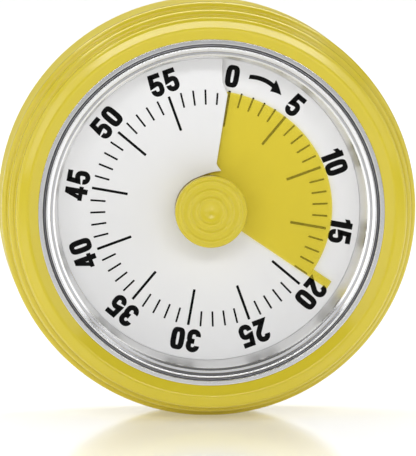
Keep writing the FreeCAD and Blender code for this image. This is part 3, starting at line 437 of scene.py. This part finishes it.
def make_cover_screws():
    """Screws that hold the back: a profile turned round each screw's own line. The head's face bulges by
    the square of the radius, and a cross is pressed into it."""
    head_face = [(radius, HEAD_FACE_LOW + HEAD_FACE_BULGE * (radius / HEAD_FACE_RADIUS) ** 2, 0.0)
                 for radius in np.linspace(HEAD_FACE_RADIUS, 0.0, 24)]
    profile = filleted([(0.0, SCREW_TIP, 0.0), (SCREW_POINT, SCREW_TIP, 0.0),
                        (SCREW_SHANK, SCREW_TIP - SCREW_TAPER, 0.0),
                        (SCREW_SHANK, SCREW_HEAD_HEIGHT, 0.05), (SCREW_HEAD, SCREW_HEAD_HEIGHT, 0.1),
                        (SCREW_HEAD, HEAD_EDGE, 0.1)] + head_face)
    radius, height = profile[:, 0], profile[:, 1]
    turn = np.radians(np.arange(SCREW_STEPS) * 360.0 / SCREW_STEPS)[:, None]
    across, along = radius * np.sin(turn), radius * np.cos(turn)
    cross = np.maximum(cross_arm(across, along), cross_arm(along, across)) * (height < HEAD_FACE_LIMIT)
    pressed = height + CROSS_DEPTH * cross
    local = np.stack([across * MM, -pressed * MM, along * MM], axis=-1)
    quads = grid_quads(SCREW_STEPS, len(profile), close_rows=True)
    screws = [mesh_piece("screw", local + place(*spot, 0.0), quads) for spot in BOSS_PLACES]
    return joined("cross_head_screws", screws)


def half_wave(share):
    """1 in the middle, falling along a cosine to 0 at shares of 1 and -1."""
    return 0.5 * (1 + math.cos(math.pi * share))


def make_knob():
    """Knob face with three round ridges, each a half wave of the radius, a soft rim, an undercut and the
    long stem."""
    floor = KNOB_FACE - RIDGE_HEIGHT
    outline = [(DISH_RADIUS * share, floor - DISH_DEPTH * half_wave(share), 0.0)
               for share in np.linspace(0, 1, RIDGE_POINTS)]
    for radius in RIDGE_RADII:
        outline += [(radius + share * RIDGE_WIDTH / 2, floor + RIDGE_HEIGHT * half_wave(share), 0.0)
                    for share in np.linspace(-1, 1, RIDGE_POINTS)]
    outline += [(KNOB_RADIUS, floor, KNOB_EDGE), (KNOB_RADIUS, KNOB_FACE - KNOB_RIM, KNOB_FILLET),
                (KNOB_RADIUS - KNOB_FOOT_INSET, KNOB_UNDERSIDE, KNOB_FILLET),
                (STEM_RADIUS, KNOB_UNDERSIDE, KNOB_FILLET),
                (STEM_RADIUS, STEM_END, 0.1), (SOCKET_RADIUS, STEM_END, 0.0),
                (SOCKET_RADIUS, KNOB_FACE - SOCKET_ROOF, 0.0), (0.0, KNOB_FACE - SOCKET_ROOF, 0.0)]
    return turned_piece("timer_knob", outline, crease=POLISHED_CREASE)


# ---- the dial and the film ----

TONGUE_TIP = 360.0 - LIP_SETBACK + TONGUE_REACH
SCREW_BASE = DIAL_HIGH - DIAL_SHEET / 2 - SCREW_PITCH / 2 - SCREW_PITCH * TONGUE_TIP / 360.0


def film_height(angle):
    """Middle of the film's sheet: it rises by one pitch in each turn."""
    return SCREW_BASE + SCREW_PITCH * angle / 360.0


def dial_height(angle):
    """Middle of the dial's sheet, half a pitch above the film's screw surface."""
    return film_height(angle) + SCREW_PITCH / 2


def slab(name, radii, angles, height_of, thick, bevel):
    """Closed sheet over a grid of radii and dial angles (both arrays of the same shape): its middle
    follows the screw surface and its faces lie half the thickness above and below. A bevel other than
    0 rounds its rim."""
    height = height_of(angles)
    top = place(radii, angles, height + thick / 2)
    bottom = place(radii, angles, height - thick / 2)
    rows, columns = radii.shape
    number = np.arange(rows * columns).reshape(rows, columns)
    rim = np.concatenate([number[0], number[1:, -1], number[-1, -2::-1], number[-2:0:-1, 0]])
    under = rows * columns
    walls = np.stack([rim, np.roll(rim, -1), np.roll(rim, -1) + under, rim + under], axis=-1)
    faces = grid_quads(rows, columns)
    quads = np.concatenate([faces[:, ::-1], faces + under, walls])
    piece = mesh_piece(name, np.concatenate([top.reshape(-1, 3), bottom.reshape(-1, 3)]), quads)
    return add_bevel(piece, bevel) if bevel else piece


def hole_radius(angle):
    """Edge of the dial's hole, which widens by a power of the angle on the way to the tongue."""
    share = np.clip((angle - HOLLOW_FROM) / (TONGUE_TIP - HOLLOW_FROM), 0, 1)
    return DIAL_HOLE + HOLLOW_DEPTH * share ** HOLLOW_CURVE


def lip_angle(radius):
    """Where the raised end of the dial stops, as a turn past a full round: a little short of the zero
    mark, further back beyond the notch, and further on at the tongue beside the hole."""
    back = np.interp(radius, [NOTCH_START, NOTCH_END, DIAL_RADIUS],
                     [LIP_SETBACK, NOTCH_ANGLE, NOTCH_RIM_ANGLE])
    inside = (TONGUE_ROOT - radius) / (TONGUE_ROOT - DIAL_HOLE - HOLLOW_DEPTH)
    return 360.0 - back + TONGUE_REACH * np.clip(inside, 0, 1) ** TONGUE_CURVE


def make_dial():
    """The dial's sheet: even steps of angle up to the lip, then rows that spread to the lip's outline.
    Each row runs from the edge of the hole to the rim in the same shares."""
    tip = DIAL_HOLE + HOLLOW_DEPTH
    radii = np.unique(np.concatenate([
        np.linspace(tip, TONGUE_ROOT, 16),
        np.linspace(TONGUE_ROOT, NOTCH_START, 14),
        np.linspace(NOTCH_START, NOTCH_END, 8),
        np.linspace(NOTCH_END, DIAL_RADIUS, 6)]))
    even = np.arange(-DIAL_TUCK, SPREAD_FROM, DIAL_STEP)
    share = np.linspace(0, 1, SPREAD_ROWS)
    angles = np.concatenate([np.broadcast_to(even[:, None], (len(even), len(radii))),
                             SPREAD_FROM + share[:, None] * (lip_angle(radii) - SPREAD_FROM)])
    inner = hole_radius(angles[:, :1])
    across = (radii - tip) / (DIAL_RADIUS - tip)
    return slab("slit_dial", inner + across * (DIAL_RADIUS - inner), angles, dial_height,
                DIAL_SHEET, DIAL_ROUND)


def film_radius(behind):
    """Edge of the film by its angle behind the tab: a circle with one cosine-squared swell."""
    share = np.clip((behind - FULL_AT) / FULL_SPREAD, -1, 1)
    return FILM_RADIUS + FILM_FULLNESS * np.cos(np.pi / 2 * share) ** 2


def make_film():
    """One turn of film, and its pointer tab, which is as wide at its end as at its root."""
    lead = 360.0 + SET_ANGLE
    angles = np.arange(lead - 360.0, lead + FILM_STEP / 3, FILM_STEP)[:, None]
    across = np.linspace(0, 1, 12)[None, :]
    radii = FILM_INSIDE + across * (film_radius(lead - angles) - FILM_INSIDE)
    film = slab("film_sheet", radii, angles + 0 * across, film_height, FILM_SHEET, 0.0)
    reach = np.linspace(film_radius(0.0) - TAB_LAP, TAB_RADIUS, 8)
    across = np.linspace(-1, 0, 4)
    tab_radii, tab_across = np.meshgrid(reach, across)
    tab_angles = lead + np.degrees(tab_across * TAB_WIDTH / tab_radii)
    tab = slab("film_tab", tab_radii, tab_angles, film_height, FILM_SHEET, 0.0)
    return joined("time_film_sheet", [film, tab])


# ---- printing on the dial ----

def printed(name, outlines):
    """Ink laid on the dial. Each outline is a pair of (across, outwards) edge lines in the dial's plane,
    in millimetres from the axis with the zero mark straight outwards; the ink between the two lines
    stands a hair above the dial's face and dips into it."""
    lift = np.array([INK_PROUD, INK_PROUD, -INK_SUNK, -INK_SUNK])
    rise = np.array([0.0, 0.0, PRINT_RISE * MM])
    points, quads, start = [], [], 0
    for left, right in outlines:
        ring = np.stack([left, right, right, left], axis=1)
        radius = np.hypot(ring[..., 0], ring[..., 1])
        angle = np.degrees(np.arctan2(ring[..., 0], ring[..., 1])) % 360.0
        angle = np.where(angle > 360.0 - LIP_SETBACK - ink_overlap(radius), angle - 360.0, angle)
        block = place(radius, angle, dial_height(angle) + DIAL_SHEET / 2 + lift) + rise
        count = len(block)
        points.append(block.reshape(-1, 3))
        quads.append(grid_quads(count, 4, close_columns=True, start=start))
        quads.append(start + np.array([[3, 2, 1, 0], 4 * count - np.arange(4, 0, -1)]))
        start += 4 * count
    return mesh_piece(name, np.concatenate(points), np.concatenate(quads))


def ink_overlap(radius):
    """How far before the lip's straight edge print is laid on the low part of the dial: the zero needs
    it beyond the notch. It also takes the outermost half millimetre of the 59-minute mark down there."""
    return np.where(radius > NOTCH_START, NOTCH_RIM_ANGLE, 0.0)


def turned_plane(line, angle):
    """A line of (across, outwards) points turned clockwise about the axis by a dial angle."""
    turn = math.radians(angle)
    return np.stack([line[:, 0] * math.cos(turn) + line[:, 1] * math.sin(turn),
                     line[:, 1] * math.cos(turn) - line[:, 0] * math.sin(turn)], axis=-1)


def tick(angle, outside, length, width):
    """Both edges of a straight mark: its half width is full but for rounded corners at the ends."""
    run = np.concatenate([np.linspace(0, TICK_ROUND, 4),
                          np.linspace(TICK_ROUND, length - TICK_ROUND, 6)[1:-1],
                          np.linspace(length - TICK_ROUND, length, 4)])
    from_end = np.minimum(np.minimum(run, length - run), TICK_ROUND)
    half = width / 2 - TICK_ROUND + np.sqrt(TICK_ROUND ** 2 - (TICK_ROUND - from_end) ** 2)
    line = np.stack([np.zeros_like(run), outside - length + run], axis=-1)
    side = np.stack([half, np.zeros_like(run)], axis=-1)
    return turned_plane(line - side, angle), turned_plane(line + side, angle)


def stroke(corners, width, cut=None):
    """Both edges of a pen line through (across, up, fillet) corners. The pen stays square to the line
    and its corners are mitred, or `cut` fixes the pen's direction and so the slant of both ends."""
    line = filleted(corners)
    width = width * BOLD
    step = np.diff(line, axis=0)
    step /= np.linalg.norm(step, axis=1)[:, None]
    ahead, behind = np.vstack([step, step[-1:]]), np.vstack([step[:1], step])
    normal = np.stack([-(ahead + behind)[:, 1], (ahead + behind)[:, 0]], axis=-1)
    normal /= np.linalg.norm(normal, axis=1)[:, None]
    square = np.stack([-ahead[:, 1], ahead[:, 0]], axis=-1)
    side = normal * (width / 2) / np.sum(normal * square, axis=1)[:, None]
    if cut is not None:
        pen = np.broadcast_to(np.array(cut, float), side.shape)
        side = pen * (width / 2) / np.abs(np.sum(pen * square, axis=1))[:, None]
        side *= np.sign(np.sum(side * square, axis=1))[:, None]
    return line + side, line - side


def oblong(half_width, half_height):
    """A closed oval: its half sizes times the cosine and sine of the turn, each raised to one power."""
    turns = np.radians(np.linspace(0, 360, 73))
    cosine, sine = np.cos(turns), np.sin(turns)
    return np.stack([half_width * np.sign(cosine) * np.abs(cosine) ** LOOP_POWER,
                     half_height * np.sign(sine) * np.abs(sine) ** LOOP_POWER], axis=-1)


def closed_loop(width, height, thick_side, thick_end):
    """Both edges of a narrow rounded ring: an outer and an inner oblong."""
    centre = np.array([width / 2, height / 2])
    outer = oblong(width / 2, height / 2) + centre
    inner = oblong(width / 2 - thick_side * BOLD, height / 2 - thick_end * BOLD) + centre
    return inner, outer


def digit_strokes(digit):
    """Edge lines of a bold condensed digit, and its width. The corners of its pen lines are in
    millimetres from its lower left corner, each with its fillet."""
    top, mid, base = DIGIT_HEIGHT - 0.42, 2.28, 0.42
    left, right = 0.51, 2.14
    if digit == "0":
        return [closed_loop(2.65, DIGIT_HEIGHT, 1.0, 0.86)], 2.65
    if digit == "1":
        flag = stroke([(0.1, 3.18, 0), (1.0, 3.62, 0)], 0.8, cut=(0, 1))
        return [stroke([(1.28, 0, 0), (1.28, DIGIT_HEIGHT, 0)], 1.08), flag], 1.82
    if digit == "2":
        return [stroke([(left, 3.0, 0), (left, top, 0.78), (right, top, 0.78), (right, 2.55, 0.9),
                        (0.72, base, 0), (2.62, base, 0)], 0.96)], 2.65
    if digit == "3":
        upper = stroke([(left, 3.1, 0), (left, top, 0.78), (right, top, 0.78), (right, mid, 0.55),
                        (1.1, mid, 0)], 0.94)
        lower = stroke([(1.1, mid, 0), (right, mid, 0.55), (right, base, 0.78), (left, base, 0.78),
                        (left, 1.3, 0)], 0.94)
        return [upper, lower], 2.65
    if digit == "4":
        stem = stroke([(1.86, 0, 0), (1.86, DIGIT_HEIGHT, 0)], 0.98)
        slant = stroke([(1.66, DIGIT_HEIGHT, 0), (0.42, 0.9, 0)], 0.72, cut=(1, 0))
        bar = stroke([(0.02, 1.28, 0), (2.78, 1.28, 0)], 0.78)
        return [stem, slant, bar], 2.78
    return [stroke([(2.5, top, 0), (0.68, top, 0), (left, 2.2, 0), (right, 2.62, 0.72),
                    (right, base, 0.78), (left, base, 0.78), (left, 1.34, 0)], 0.92)], 2.65


def number_outlines(minute):
    """Edge lines of a number whose foot points at the axis."""
    outlines, across = [], 0.0
    for digit in str(minute):
        strokes, width = digit_strokes(digit)
        outlines += [(first + (across, 0), second + (across, 0)) for first, second in strokes]
        across += width + DIGIT_GAP
    shift = np.array([-(across - DIGIT_GAP) / 2, DIGIT_MIDDLE - DIGIT_HEIGHT / 2])
    angle = minute * 360.0 / MINUTES
    return [(turned_plane(first + shift, angle), turned_plane(second + shift, angle))
            for first, second in outlines]


def arrow_middle(angle):
    """Middle line of the arrow: a parabola of the dial angle, furthest out at the top of its bow."""
    return ARROW_RADIUS - ARROW_BOW * (angle - ARROW_CREST) ** 2


def arrow_outlines():
    """A bowed shaft of one width and a head that narrows evenly to its point."""
    shaft = np.linspace(ARROW_FROM, ARROW_HEAD_FROM + ARROW_LAP, 16)
    head = np.linspace(ARROW_HEAD_FROM, ARROW_TO, 8)
    narrowing = 1 - (1 - ARROW_POINT) * np.linspace(0, 1, len(head))
    outlines = []
    for sweep, half in ((shaft, np.full(len(shaft), ARROW_WIDTH / 2)),
                        (head, ARROW_HEAD_WIDTH / 2 * narrowing)):
        turn = np.radians(sweep)
        outlines.append(tuple(np.stack([radius * np.sin(turn), radius * np.cos(turn)], axis=-1)
                              for radius in (arrow_middle(sweep) + half, arrow_middle(sweep) - half)))
    return outlines


def make_printing():
    """A mark for each minute, a longer one and a number at every fifth, and the turning arrow."""
    marks = range(0, MINUTES, MARK_EVERY)
    ticks = []
    for minute in range(MINUTES):
        length, width = (LONG_TICK, LONG_TICK_WIDTH) if minute in marks else (SHORT_TICK, SHORT_TICK_WIDTH)
        ticks.append(tick(minute * 360.0 / MINUTES, TICK_OUTSIDE, length, width))
    numbers = [outline for minute in marks for outline in number_outlines(minute)]
    return [printed("minute_marks", ticks), printed("minute_numbers", numbers),
            printed("turning_arrow", arrow_outlines())]


# ---- materials ----

def hex_colour(code):
    """Linear colour of an sRGB hex code."""
    parts = [int(code[i:i + 2], 16) / 255 for i in (1, 3, 5)]
    return [c / 12.92 if c <= 0.04045 else ((c + 0.055) / 1.055) ** 2.4 for c in parts] + [1.0]


def add_node(tree, kind, settings=None, links=None):
    """Adds a node: settings go to its properties or its inputs, links to its inputs from sockets."""
    node = tree.nodes.new(kind)
    for key, value in (settings or {}).items():
        if isinstance(key, str) and hasattr(node, key) and key not in node.inputs:
            setattr(node, key, value)
        else:
            node.inputs[key].default_value = value
    for key, socket in (links or {}).items():
        tree.links.new(socket, node.inputs[key])
    return node


def new_material(name):
    """An empty node material, with its tree, its Principled shader and Object coordinates in mm."""
    material = bpy.data.materials.new(name)
    material.use_nodes = True
    tree = material.node_tree
    shader = tree.nodes["Principled BSDF"]
    coordinates = add_node(tree, "ShaderNodeTexCoord")
    mm = add_node(tree, "ShaderNodeMapping", {"Scale": (1 / MM, 1 / MM, 1 / MM)},
                  {"Vector": coordinates.outputs["Object"]})
    return material, tree, shader, mm.outputs["Vector"]


def mottled(tree, mm, first, second, patch):
    """Two colours of one stock, mixed in soft patches of a size in millimetres."""
    noise = add_node(tree, "ShaderNodeTexNoise", {"Scale": 1 / patch, "Detail": 2.0}, {"Vector": mm})
    mix = add_node(tree, "ShaderNodeMix", {"data_type": "RGBA"}, {"Factor": noise.outputs["Fac"]})
    mix.inputs[6].default_value = hex_colour(first)
    mix.inputs[7].default_value = hex_colour(second)
    return mix.outputs[2]


def varied(tree, source, low, high):
    """A roughness that follows a texture between two values."""
    return add_node(tree, "ShaderNodeMapRange", {"To Min": low, "To Max": high},
                    {"Value": source}).outputs["Result"]


def bumped(tree, shader, height, depth):
    """Surface relief of a depth in millimetres."""
    bump = add_node(tree, "ShaderNodeBump", {"Distance": depth * MM, "Strength": 1.0},
                    {"Height": height})
    tree.links.new(bump.outputs["Normal"], shader.inputs["Normal"])


def moulded_gloss_abs():
    """ABS from a polished mould: a bright gloss with a very slight ripple where the plastic shrank. The
    outer wall behind the beads is left satin by its mould, so it spreads the light evenly."""
    material, tree, shader, mm = new_material("moulded_gloss_abs")
    tree.links.new(mottled(tree, mm, "#D9C632", "#D3C02D", 14.0), shader.inputs["Base Color"])
    ripple = add_node(tree, "ShaderNodeTexNoise", {"Scale": 1 / 9.0, "Detail": 1.0}, {"Vector": mm})
    axes = add_node(tree, "ShaderNodeSeparateXYZ", links={"Vector": mm})
    side = add_node(tree, "ShaderNodeMapRange",
                    {"From Min": SIDE_FRONT, "From Max": SIDE_FRONT + SIDE_BLEND,
                     "To Min": 0.12, "To Max": 0.55},
                    {"Value": axes.outputs["Y"]})
    rough = add_node(tree, "ShaderNodeMath", {"operation": "MULTIPLY_ADD", 1: 0.06},
                     {0: ripple.outputs["Fac"], 2: side.outputs["Result"]})
    tree.links.new(rough.outputs[0], shader.inputs["Roughness"])
    bumped(tree, shader, ripple.outputs["Fac"], 0.012)
    shader.inputs["IOR"].default_value = 1.53
    shader.inputs["Subsurface Weight"].default_value = 0.05
    shader.inputs["Subsurface Radius"].default_value = (0.0012, 0.001, 0.0003)
    return material


def sparked_abs():
    """ABS from a spark-eroded mould: an even fine grain of about 0.25 mm, which looks matt."""
    material, tree, shader, mm = new_material("sparked_abs")
    tree.links.new(mottled(tree, mm, "#D9C63B", "#D2BF37", 10.0), shader.inputs["Base Color"])
    grain = add_node(tree, "ShaderNodeTexNoise", {"Scale": 1 / 0.25, "Detail": 3.0}, {"Vector": mm})
    tree.links.new(varied(tree, grain.outputs["Fac"], 0.42, 0.6), shader.inputs["Roughness"])
    bumped(tree, shader, grain.outputs["Fac"], 0.03)
    shader.inputs["IOR"].default_value = 1.53
    return material


def spun_aluminium():
    """Aluminium sheet, spun and polished: bright, with hair lines that run round it every 0.25 mm. Painted
    shade makes the bottom of the groove grey, and the skirt inside the mouth is satin."""
    material, tree, shader, mm = new_material("spun_aluminium")
    centred = add_node(tree, "ShaderNodeVectorMath",
                       {"operation": "SUBTRACT", 1: (AXIS_X / MM, 0.0, AXIS_Z / MM)}, {0: mm})
    flat = add_node(tree, "ShaderNodeVectorMath", {"operation": "MULTIPLY", 1: (1.0, 0.0, 1.0)},
                    {0: centred.outputs["Vector"]})
    radius = add_node(tree, "ShaderNodeVectorMath", {"operation": "LENGTH"}, {0: flat.outputs["Vector"]})
    lines = add_node(tree, "ShaderNodeTexNoise",
                     {"noise_dimensions": "1D", "Scale": 1 / 0.25, "Detail": 1.0},
                     {"W": radius.outputs["Value"]})
    satin = add_node(tree, "ShaderNodeMapRange",
                     {"From Min": MOUTH_RADIUS - SATIN_BLEND, "From Max": MOUTH_RADIUS,
                      "To Min": 0.45, "To Max": 0.16},
                     {"Value": radius.outputs["Value"]})
    rough = add_node(tree, "ShaderNodeMath", {"operation": "MULTIPLY_ADD", 1: 0.06},
                     {0: lines.outputs["Fac"], 2: satin.outputs["Result"]})
    tree.links.new(rough.outputs[0], shader.inputs["Roughness"])
    bumped(tree, shader, lines.outputs["Fac"], 0.0006)
    # painted shade: the base colour falls from light #EAEAEB to grey #909093 towards the middle of the
    # groove
    from_groove = add_node(tree, "ShaderNodeMath", {"operation": "SUBTRACT", 1: GROOVE_MIDDLE},
                           {0: radius.outputs["Value"]})
    distance = add_node(tree, "ShaderNodeMath", {"operation": "ABSOLUTE"}, {0: from_groove.outputs[0]})
    groove_shade_mask = add_node(tree, "ShaderNodeMapRange",
                      {"From Min": GROOVE_WIDTH / 4, "From Max": GROOVE_WIDTH / 2},
                      {"Value": distance.outputs[0]})
    mix = add_node(tree, "ShaderNodeMix", {"data_type": "RGBA"}, {"Factor": groove_shade_mask.outputs["Result"]})
    mix.inputs[6].default_value = hex_colour("#909093")
    mix.inputs[7].default_value = hex_colour("#EAEAEB")
    tree.links.new(mix.outputs[2], shader.inputs["Base Color"])
    shader.inputs["Metallic"].default_value = 1.0
    return material


def satin_dial_styrene():
    """Polystyrene sheet with a satin face: a neutral light grey that takes no sharp reflection."""
    material, tree, shader, mm = new_material("satin_dial_styrene")
    tree.links.new(mottled(tree, mm, "#F2F2F2", "#EDEDEE", 12.0), shader.inputs["Base Color"])
    grain = add_node(tree, "ShaderNodeTexNoise", {"Scale": 1 / 0.3, "Detail": 2.0}, {"Vector": mm})
    tree.links.new(varied(tree, grain.outputs["Fac"], 0.38, 0.5), shader.inputs["Roughness"])
    bumped(tree, shader, grain.outputs["Fac"], 0.004)
    shader.inputs["IOR"].default_value = 1.59
    return material


def screen_ink():
    """Black screen-printing ink: dense and slightly less glossy than the sheet, with a fine mottle."""
    material, tree, shader, mm = new_material("screen_ink")
    tree.links.new(mottled(tree, mm, "#040404", "#0A0A0A", 1.2), shader.inputs["Base Color"])
    shader.inputs["Roughness"].default_value = 0.8
    shader.inputs["Specular IOR Level"].default_value = 0.15
    return material


def tinted_film():
    """Yellow polyester film, let through a little: the marks under it stay in sight as a deeper tone."""
    material, tree, shader, mm = new_material("tinted_film")
    tree.links.new(mottled(tree, mm, "#F9E54E", "#F3DE49", 10.0), shader.inputs["Base Color"])
    grain = add_node(tree, "ShaderNodeTexNoise", {"Scale": 1 / 0.4, "Detail": 2.0}, {"Vector": mm})
    tree.links.new(varied(tree, grain.outputs["Fac"], 0.36, 0.48), shader.inputs["Roughness"])
    shader.inputs["IOR"].default_value = 1.5
    clear = add_node(tree, "ShaderNodeBsdfTransparent", {"Color": hex_colour("#FCF8C0")})
    mix = add_node(tree, "ShaderNodeMixShader", {0: 0.17})
    tree.links.new(clear.outputs["BSDF"], mix.inputs[1])
    tree.links.new(shader.outputs["BSDF"], mix.inputs[2])
    tree.links.new(mix.outputs["Shader"], tree.nodes["Material Output"].inputs["Surface"])
    return material


def metal(name, colour, darker, patch, rough_low, rough_high, grain_mm, depth):
    """A bare or plated metal whose polish and tone vary over fine grain."""
    material, tree, shader, mm = new_material(name)
    tree.links.new(mottled(tree, mm, colour, darker, patch), shader.inputs["Base Color"])
    grain = add_node(tree, "ShaderNodeTexNoise", {"Scale": 1 / grain_mm, "Detail": 3.0}, {"Vector": mm})
    tree.links.new(varied(tree, grain.outputs["Fac"], rough_low, rough_high), shader.inputs["Roughness"])
    bumped(tree, shader, grain.outputs["Fac"], depth)
    shader.inputs["Metallic"].default_value = 1.0
    return material


def moulded_seat_styrene():
    """Plain moulded polystyrene: an even dull white, hidden under the rim of the dial."""
    material, tree, shader, mm = new_material("moulded_seat_styrene")
    tree.links.new(mottled(tree, mm, "#E0E0E0", "#D8D8D8", 6.0), shader.inputs["Base Color"])
    shader.inputs["Roughness"].default_value = 0.5
    return material


MATERIALS = {
    "case_plastic": moulded_gloss_abs(),
    "cover_plastic": sparked_abs(),
    "bezel_metal": spun_aluminium(),
    "dial_plastic": satin_dial_styrene(),
    "seat_plastic": moulded_seat_styrene(),
    "film": tinted_film(),
    # nickel plate on sintered magnets: a pale, warm grey, softly bright
    "magnet": metal("nickel_plate", "#C9C5BD", "#B9B5AD", 4.0, 0.18, 0.3, 0.5, 0.002),
    # zinc-plated screws: cool grey with a slightly frosted skin
    "screw_steel": metal("zinc_plate", "#C2C4C8", "#ABADB2", 1.5, 0.22, 0.38, 0.2, 0.003),
    # steel cup, drawn and nickel-plated: a clear, slightly warm shine
    "bell_steel": metal("drawn_bell_steel", "#CFCDC8", "#BDBBB6", 6.0, 0.15, 0.28, 0.8, 0.003),
    # plates blanked from rolled sheet: a dull mid grey with the mill's grain
    "plate_steel": metal("blanked_sheet_steel", "#A9ABAE", "#96989B", 5.0, 0.3, 0.45, 0.35, 0.004),
    # spring strip tempered in air: a deep slate blue with a soft shine
    "spring_steel": metal("blued_spring_steel", "#56607A", "#414A63", 3.0, 0.2, 0.32, 0.3, 0.002),
    # arbors turned and burnished: bright, light grey, with a very fine grain
    "arbor_steel": metal("turned_arbor_steel", "#C6C7C9", "#B2B3B5", 2.0, 0.15, 0.25, 0.15, 0.002),
    # wheels blanked from brass, lightly tarnished: a warm yellow, softly bright
    "brass": metal("blanked_brass", "#D2B263", "#BE9C4C", 4.0, 0.22, 0.36, 0.3, 0.003),
}
MATERIALS["knob_plastic"] = MATERIALS["case_plastic"]
INK = screen_ink()


def dress(piece, body, slot, material=None, replaces=()):
    """Gives a new piece its body and the material of its slot, or the material passed in, and hides the
    CAD nodes that it stands for.
    """
    piece.data.materials.clear()
    piece.data.materials.append(material or MATERIALS[slot])
    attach(piece, body)
    if replaces:
        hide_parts(*replaces)


for part in frame["record"]["subparts"]:
    node = frame["nodes"][part["node"]]
    node.data.materials.clear()
    node.data.materials.append(MATERIALS[part["material_slot"]])

dress(make_case(), "case", "case_plastic", replaces=["front_shell"])
dress(make_ring(), "case", "bezel_metal", replaces=["bezel_ring"])
dress(make_knob(), "winder", "knob_plastic", replaces=["knob"])
dress(make_cover_screws(), "case", "screw_steel", replaces=["cover_screws"])
dress(make_dial(), "case", "dial_plastic", replaces=["dial_plate"])
dress(make_film(), "time_disc", "film", replaces=["time_film"])
for printing in make_printing():
    dress(printing, "case", "dial_plastic", material=INK)


# ---- studio ----

def softbox(name, location, target, size, power):
    """White rectangular area light that faces its target. Lengths in metres."""
    lamp = bpy.data.lights.new(name, "AREA")
    lamp.shape = "RECTANGLE"
    lamp.size, lamp.size_y = size
    lamp.energy = power
    light = bpy.data.objects.new(name, lamp)
    light.location = location
    bpy.context.scene.collection.objects.link(light)
    aim(light, target)


def aim(thing, target):
    """Turns a light or camera so that its -Z axis points at the target."""
    away = np.array(thing.location) - np.array(target)
    across = math.hypot(away[0], away[1])
    thing.rotation_euler = (math.atan2(across, away[2]), 0.0, math.atan2(away[0], -away[1]))


def studio_white():
    """Opal board lit softly from below: white, with a faint mirror image of what stands on it."""
    material, tree, shader, mm = new_material("white_gloss_board")
    tree.links.new(mottled(tree, mm, "#FBFBFB", "#F8F8F8", 90.0), shader.inputs["Base Color"])
    shader.inputs["Roughness"].default_value = 0.12
    shader.inputs["Emission Color"].default_value = hex_colour("#FFFFFF")
    shader.inputs["Emission Strength"].default_value = BOARD_GLOW
    return material


def make_floor():
    """Board that runs far forwards and back from under the timer. Its back edge rolls up through a
    quarter circle."""
    roll = np.linspace(0, np.pi / 2, 10)[1:]
    flat = np.linspace(BOARD_FRONT, BOARD_BACK, 24)
    run = np.concatenate([flat, BOARD_BACK + BOARD_ROLL * np.sin(roll)])[:, None]
    rise = np.concatenate([np.zeros(len(flat)), BOARD_ROLL * (1 - np.cos(roll))])[:, None]
    across = np.linspace(-BOARD_HALF_WIDTH, BOARD_HALF_WIDTH, 9)
    points = np.stack(np.broadcast_arrays(across, run, rise), axis=-1)
    floor = mesh_piece("studio_board", points, grid_quads(len(run), len(across))[:, ::-1])
    floor.data.materials.append(studio_white())
    return floor


make_floor()

FOCUS = (AXIS_X, BACK - CASE_DEPTH / 2 * MM, AXIS_Z)
# name, place, target, width and height, power in watts
LIGHTS = [
    ("left_box", (-0.94, -0.34, 0.335), (0.0, 0.0, 0.335), (0.75, 0.66), 2.1),
    ("right_box", (0.94, -0.34, 0.335), (0.0, 0.0, 0.335), (0.75, 0.66), 1.9),
    ("left_front_box", (-0.5, -0.87, 0.36), FOCUS, (0.26, 0.55), 1.2),
    ("right_front_box", (0.5, -0.87, 0.36), FOCUS, (0.26, 0.55), 0.6),
    ("left_high_box", (-0.64, -0.09, 0.8), FOCUS, (0.4, 0.4), 1.2),
    ("right_high_box", (0.64, -0.09, 0.8), FOCUS, (0.4, 0.4), 0.9),
    ("front_high_box", (0.05, -0.95, 0.5), FOCUS, (0.8, 0.16), 2.4),
    ("left_back_box", (-0.94, 0.34, 0.34), FOCUS, (0.3, 0.6), 1.0),
    ("right_back_box", (0.94, 0.34, 0.34), FOCUS, (0.3, 0.6), 0.9),
    ("back_high_box", (0.0, 0.25, 1.0), FOCUS, (0.6, 0.25), 0.5),
    ("back_board_wash", (0.0, 0.7, 1.0), (0.0, 1.0, 0.0), (1.6, 0.5), 15.0),
    ("front_board_wash", (0.0, -1.25, 0.5), (0.0, -0.7, 0.0), (1.4, 0.3), 0.8),
]
for name, location, target, size, power in LIGHTS:
    softbox(name, location, target, size, power)

AIR_LIGHT = 0.14          # strength of the even white light from all round
world = bpy.data.worlds.new("studio_air")
world.use_nodes = True
background = world.node_tree.nodes["Background"]
background.inputs["Color"].default_value = hex_colour("#FFFFFF")
background.inputs["Strength"].default_value = AIR_LIGHT
bpy.context.scene.world = world
bpy.context.scene.view_settings.view_transform = "Standard"

CAMERA_DISTANCE = 1.6     # metres from the middle of the timer
CAMERA_AZIMUTH = -3.45    # a little to the left of the dial's axis
CAMERA_ELEVATION = 4.65   # and a little above it
FRAME_HEIGHT = 0.08815    # height of the view at the timer, in metres
FRAME_SIDE = 0.0001       # the timer's middle lies this far left of the middle of the view
FRAME_DROP = 0.00402      # and this far above it

camera_data = bpy.data.cameras.new("front_camera")
camera = bpy.data.objects.new("front_camera", camera_data)
azimuth, elevation = math.radians(CAMERA_AZIMUTH), math.radians(CAMERA_ELEVATION)
target = np.array(FOCUS) + np.array([FRAME_SIDE, 0.0, -FRAME_DROP])
camera.location = target + CAMERA_DISTANCE * np.array([
    math.sin(azimuth) * math.cos(elevation), -math.cos(azimuth) * math.cos(elevation),
    math.sin(elevation)])
aim(camera, target)
camera_data.lens = camera_data.sensor_width * CAMERA_DISTANCE / FRAME_HEIGHT
camera_data.clip_start = 0.05
bpy.context.scene.collection.objects.link(camera)
bpy.context.scene.camera = camera
